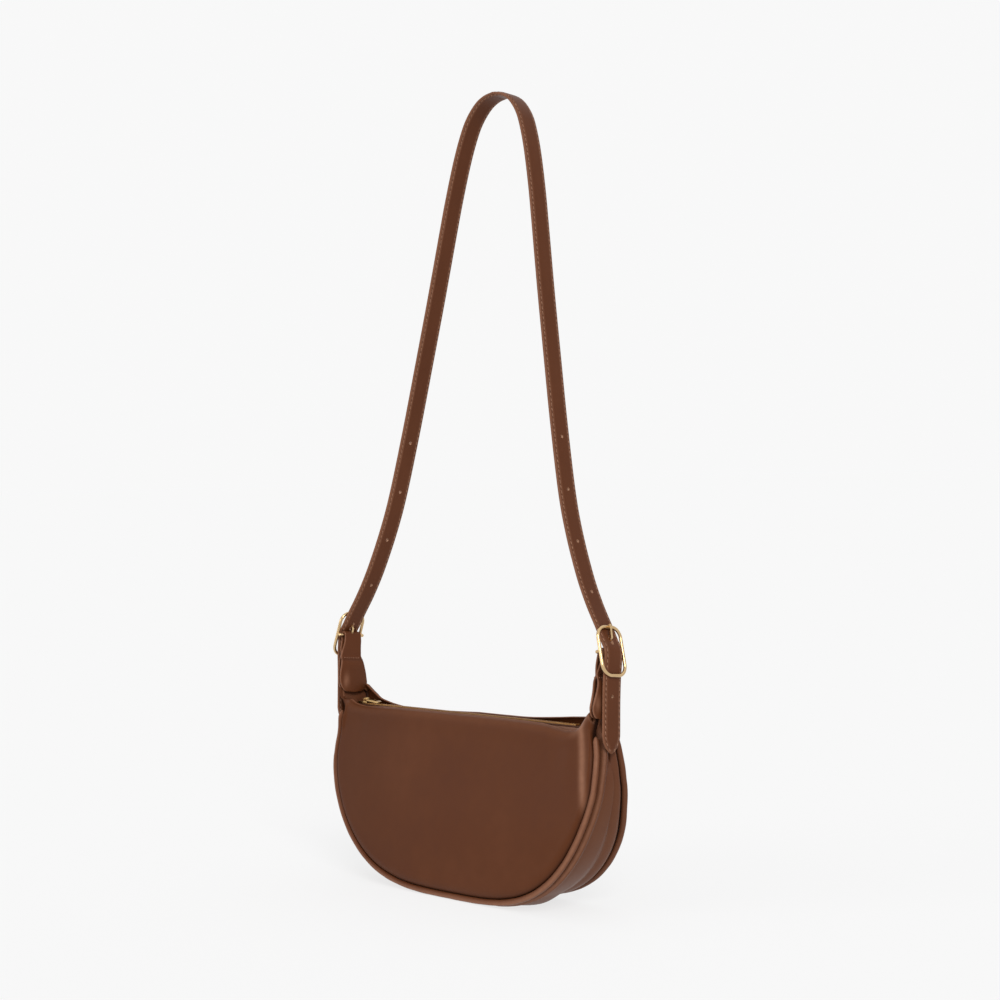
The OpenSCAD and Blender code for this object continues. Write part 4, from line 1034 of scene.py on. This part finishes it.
neckRow = {"z": 172.8, "count": 7, "pitch": 2.3, "stitch": (1.15, 0.75, 0.9), "middle": {1: 0, -1: -2.9}}
rows = []
for facing in (-1, 1):
    y = (np.arange(neckRow["count"]) - (neckRow["count"] - 1) / 2) * neckRow["pitch"]
    onSide = tabPath[np.sign(tabPath[:, 0] - neckX) == facing]
    onLine = onSide[np.argmin(np.abs(onSide[:, 1] - neckRow["z"]))]
    spot = np.stack([np.full(len(y), onLine[0] + facing * (tab["thick"] / 2 + 0.02)), y,
                     np.full(len(y), neckRow["z"])], axis=1)
    for flip in (1, -1):
        start = leaned(spot + [0, neckRow["middle"][flip], 0])
        along = leaned(spot + [0, neckRow["middle"][flip] + 1, 0]) - start
        turn = np.array([flip, 1, 1])
        rows.append((start * turn, along * turn, np.tile([facing * flip, 0.0, 0.0], (len(y), 1))))
stitchMesh("neck_stitches", rows, neckRow["stitch"])
print("stitches made")


# metal and boards keep their solids and get their finish

for name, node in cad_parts.items():
    if node.hide_render:
        continue
    metal = "buckle" in name or "prong" in name
    look = (fibreBoard if ("board" in name or "core" in name) else buckleGold if metal
            else teethGold if "teeth" in name else zipGold)
    node.data.materials.clear()
    node.data.materials.append(look)
    if metal or name in ("zip_pull", "zip_slider"):
        node.data.shade_smooth()
        node.data.set_sharp_from_angle(angle=math.radians(38))
print("metal and boards finished")


# studio

studio = {
    "white": 0.94, "ambient": 0.46, "floorGlow": 0.78, "floorWhite": 0.963, "reach": 40.0,
    # each lamp's strength, then its size, its direction round the bag and its height in degrees
    "keyLight": (1.75, 24, 56, 33), "fillLight": (0.65, 30, -27, 15), "topLight": (0.3, 80, 150, 75),
}

world = bpy.data.worlds.new("studio")
bpy.context.scene.world = world
sky = Finish("studio", world)
# the camera and what it sees in metal get the pale backdrop, and the object gets plain light
seen = sky.add("LightPath", out="Is Camera Ray")
for ray in ("Is Glossy Ray", "Is Transmission Ray"):
    seen = seen.maths("MAXIMUM", seen, sky.add("LightPath", out=ray))
level = sky.add("MapRange", {}, {"Value": seen, "To Min": studio["ambient"], "To Max": studio["white"]})
backdrop = sky.add("Background", {}, {"Color": (1, 1, 1, 1), "Strength": level})
sky.add("OutputWorld", {}, {"Surface": backdrop})


def sunLight(name, strength, angle, azimuth, elevation):
    data = bpy.data.lights.new(name, "SUN")
    data.energy, data.angle = strength, math.radians(angle)
    lamp = bpy.data.objects.new(name, data)
    a, e = math.radians(azimuth), math.radians(elevation)
    towards = Vector((math.sin(a) * math.cos(e), -math.cos(a) * math.cos(e), math.sin(e)))
    lamp.rotation_mode = "QUATERNION"
    lamp.rotation_quaternion = towards.to_track_quat("Z", "Y")
    bpy.context.scene.collection.objects.link(lamp)


for name in ("keyLight", "fillLight", "topLight"):
    sunLight(name, *studio[name])

floorFinish = Finish("paleFloor")
lit = floorFinish.add("BsdfDiffuse", {}, {"Color": (studio["white"],) * 3 + (1,)})
glow = floorFinish.add("Emission", {}, {"Color": (1, 1, 1, 1), "Strength": studio["floorWhite"]})
mixed = floorFinish.add("MixShader", {}, {0: studio["floorGlow"], 1: lit, 2: glow})
floorFinish.add("OutputMaterial", {}, {"Surface": mixed})
floorMesh = bpy.data.meshes.new("floor")
corners = [(x * studio["reach"], y * studio["reach"], 0) for x, y in ((-1, -1), (1, -1), (1, 1), (-1, 1))]
floorMesh.from_pydata(corners, [], [(0, 1, 2, 3)])
floorMesh.materials.append(floorFinish.owner)
floor = bpy.data.objects.new("floor", floorMesh)
bpy.context.scene.collection.objects.link(floor)

# the place in metres, the angles, and the focal length in pixels, all fitted to the photograph
view = {"place": (1.1597, -1.0572, 0.3235), "yaw": 136.736, "pitch": -0.897, "roll": -1.4, "focal": 2068.67,
        "frame": 1000, "sensor": 36}
yaw, pitch, roll = (math.radians(view[k]) for k in ("yaw", "pitch", "roll"))
ahead = Vector((math.cos(pitch) * math.cos(yaw), math.cos(pitch) * math.sin(yaw), math.sin(pitch)))
right = Vector((math.sin(yaw), -math.cos(yaw), 0))
up = right.cross(ahead)
right, up = math.cos(roll) * right + math.sin(roll) * up, math.cos(roll) * up - math.sin(roll) * right
cameraData = bpy.data.cameras.new("camera")
cameraData.sensor_width = view["sensor"]
cameraData.lens = view["focal"] / view["frame"] * view["sensor"]
camera = bpy.data.objects.new("camera", cameraData)
turn = Matrix((right, up, -ahead)).transposed()
camera.matrix_world = Matrix.Translation(Vector(view["place"])) @ turn.to_4x4()
bpy.context.scene.collection.objects.link(camera)
bpy.context.scene.camera = camera
bpy.context.scene.view_settings.view_transform = "Standard"
print("studio ready")
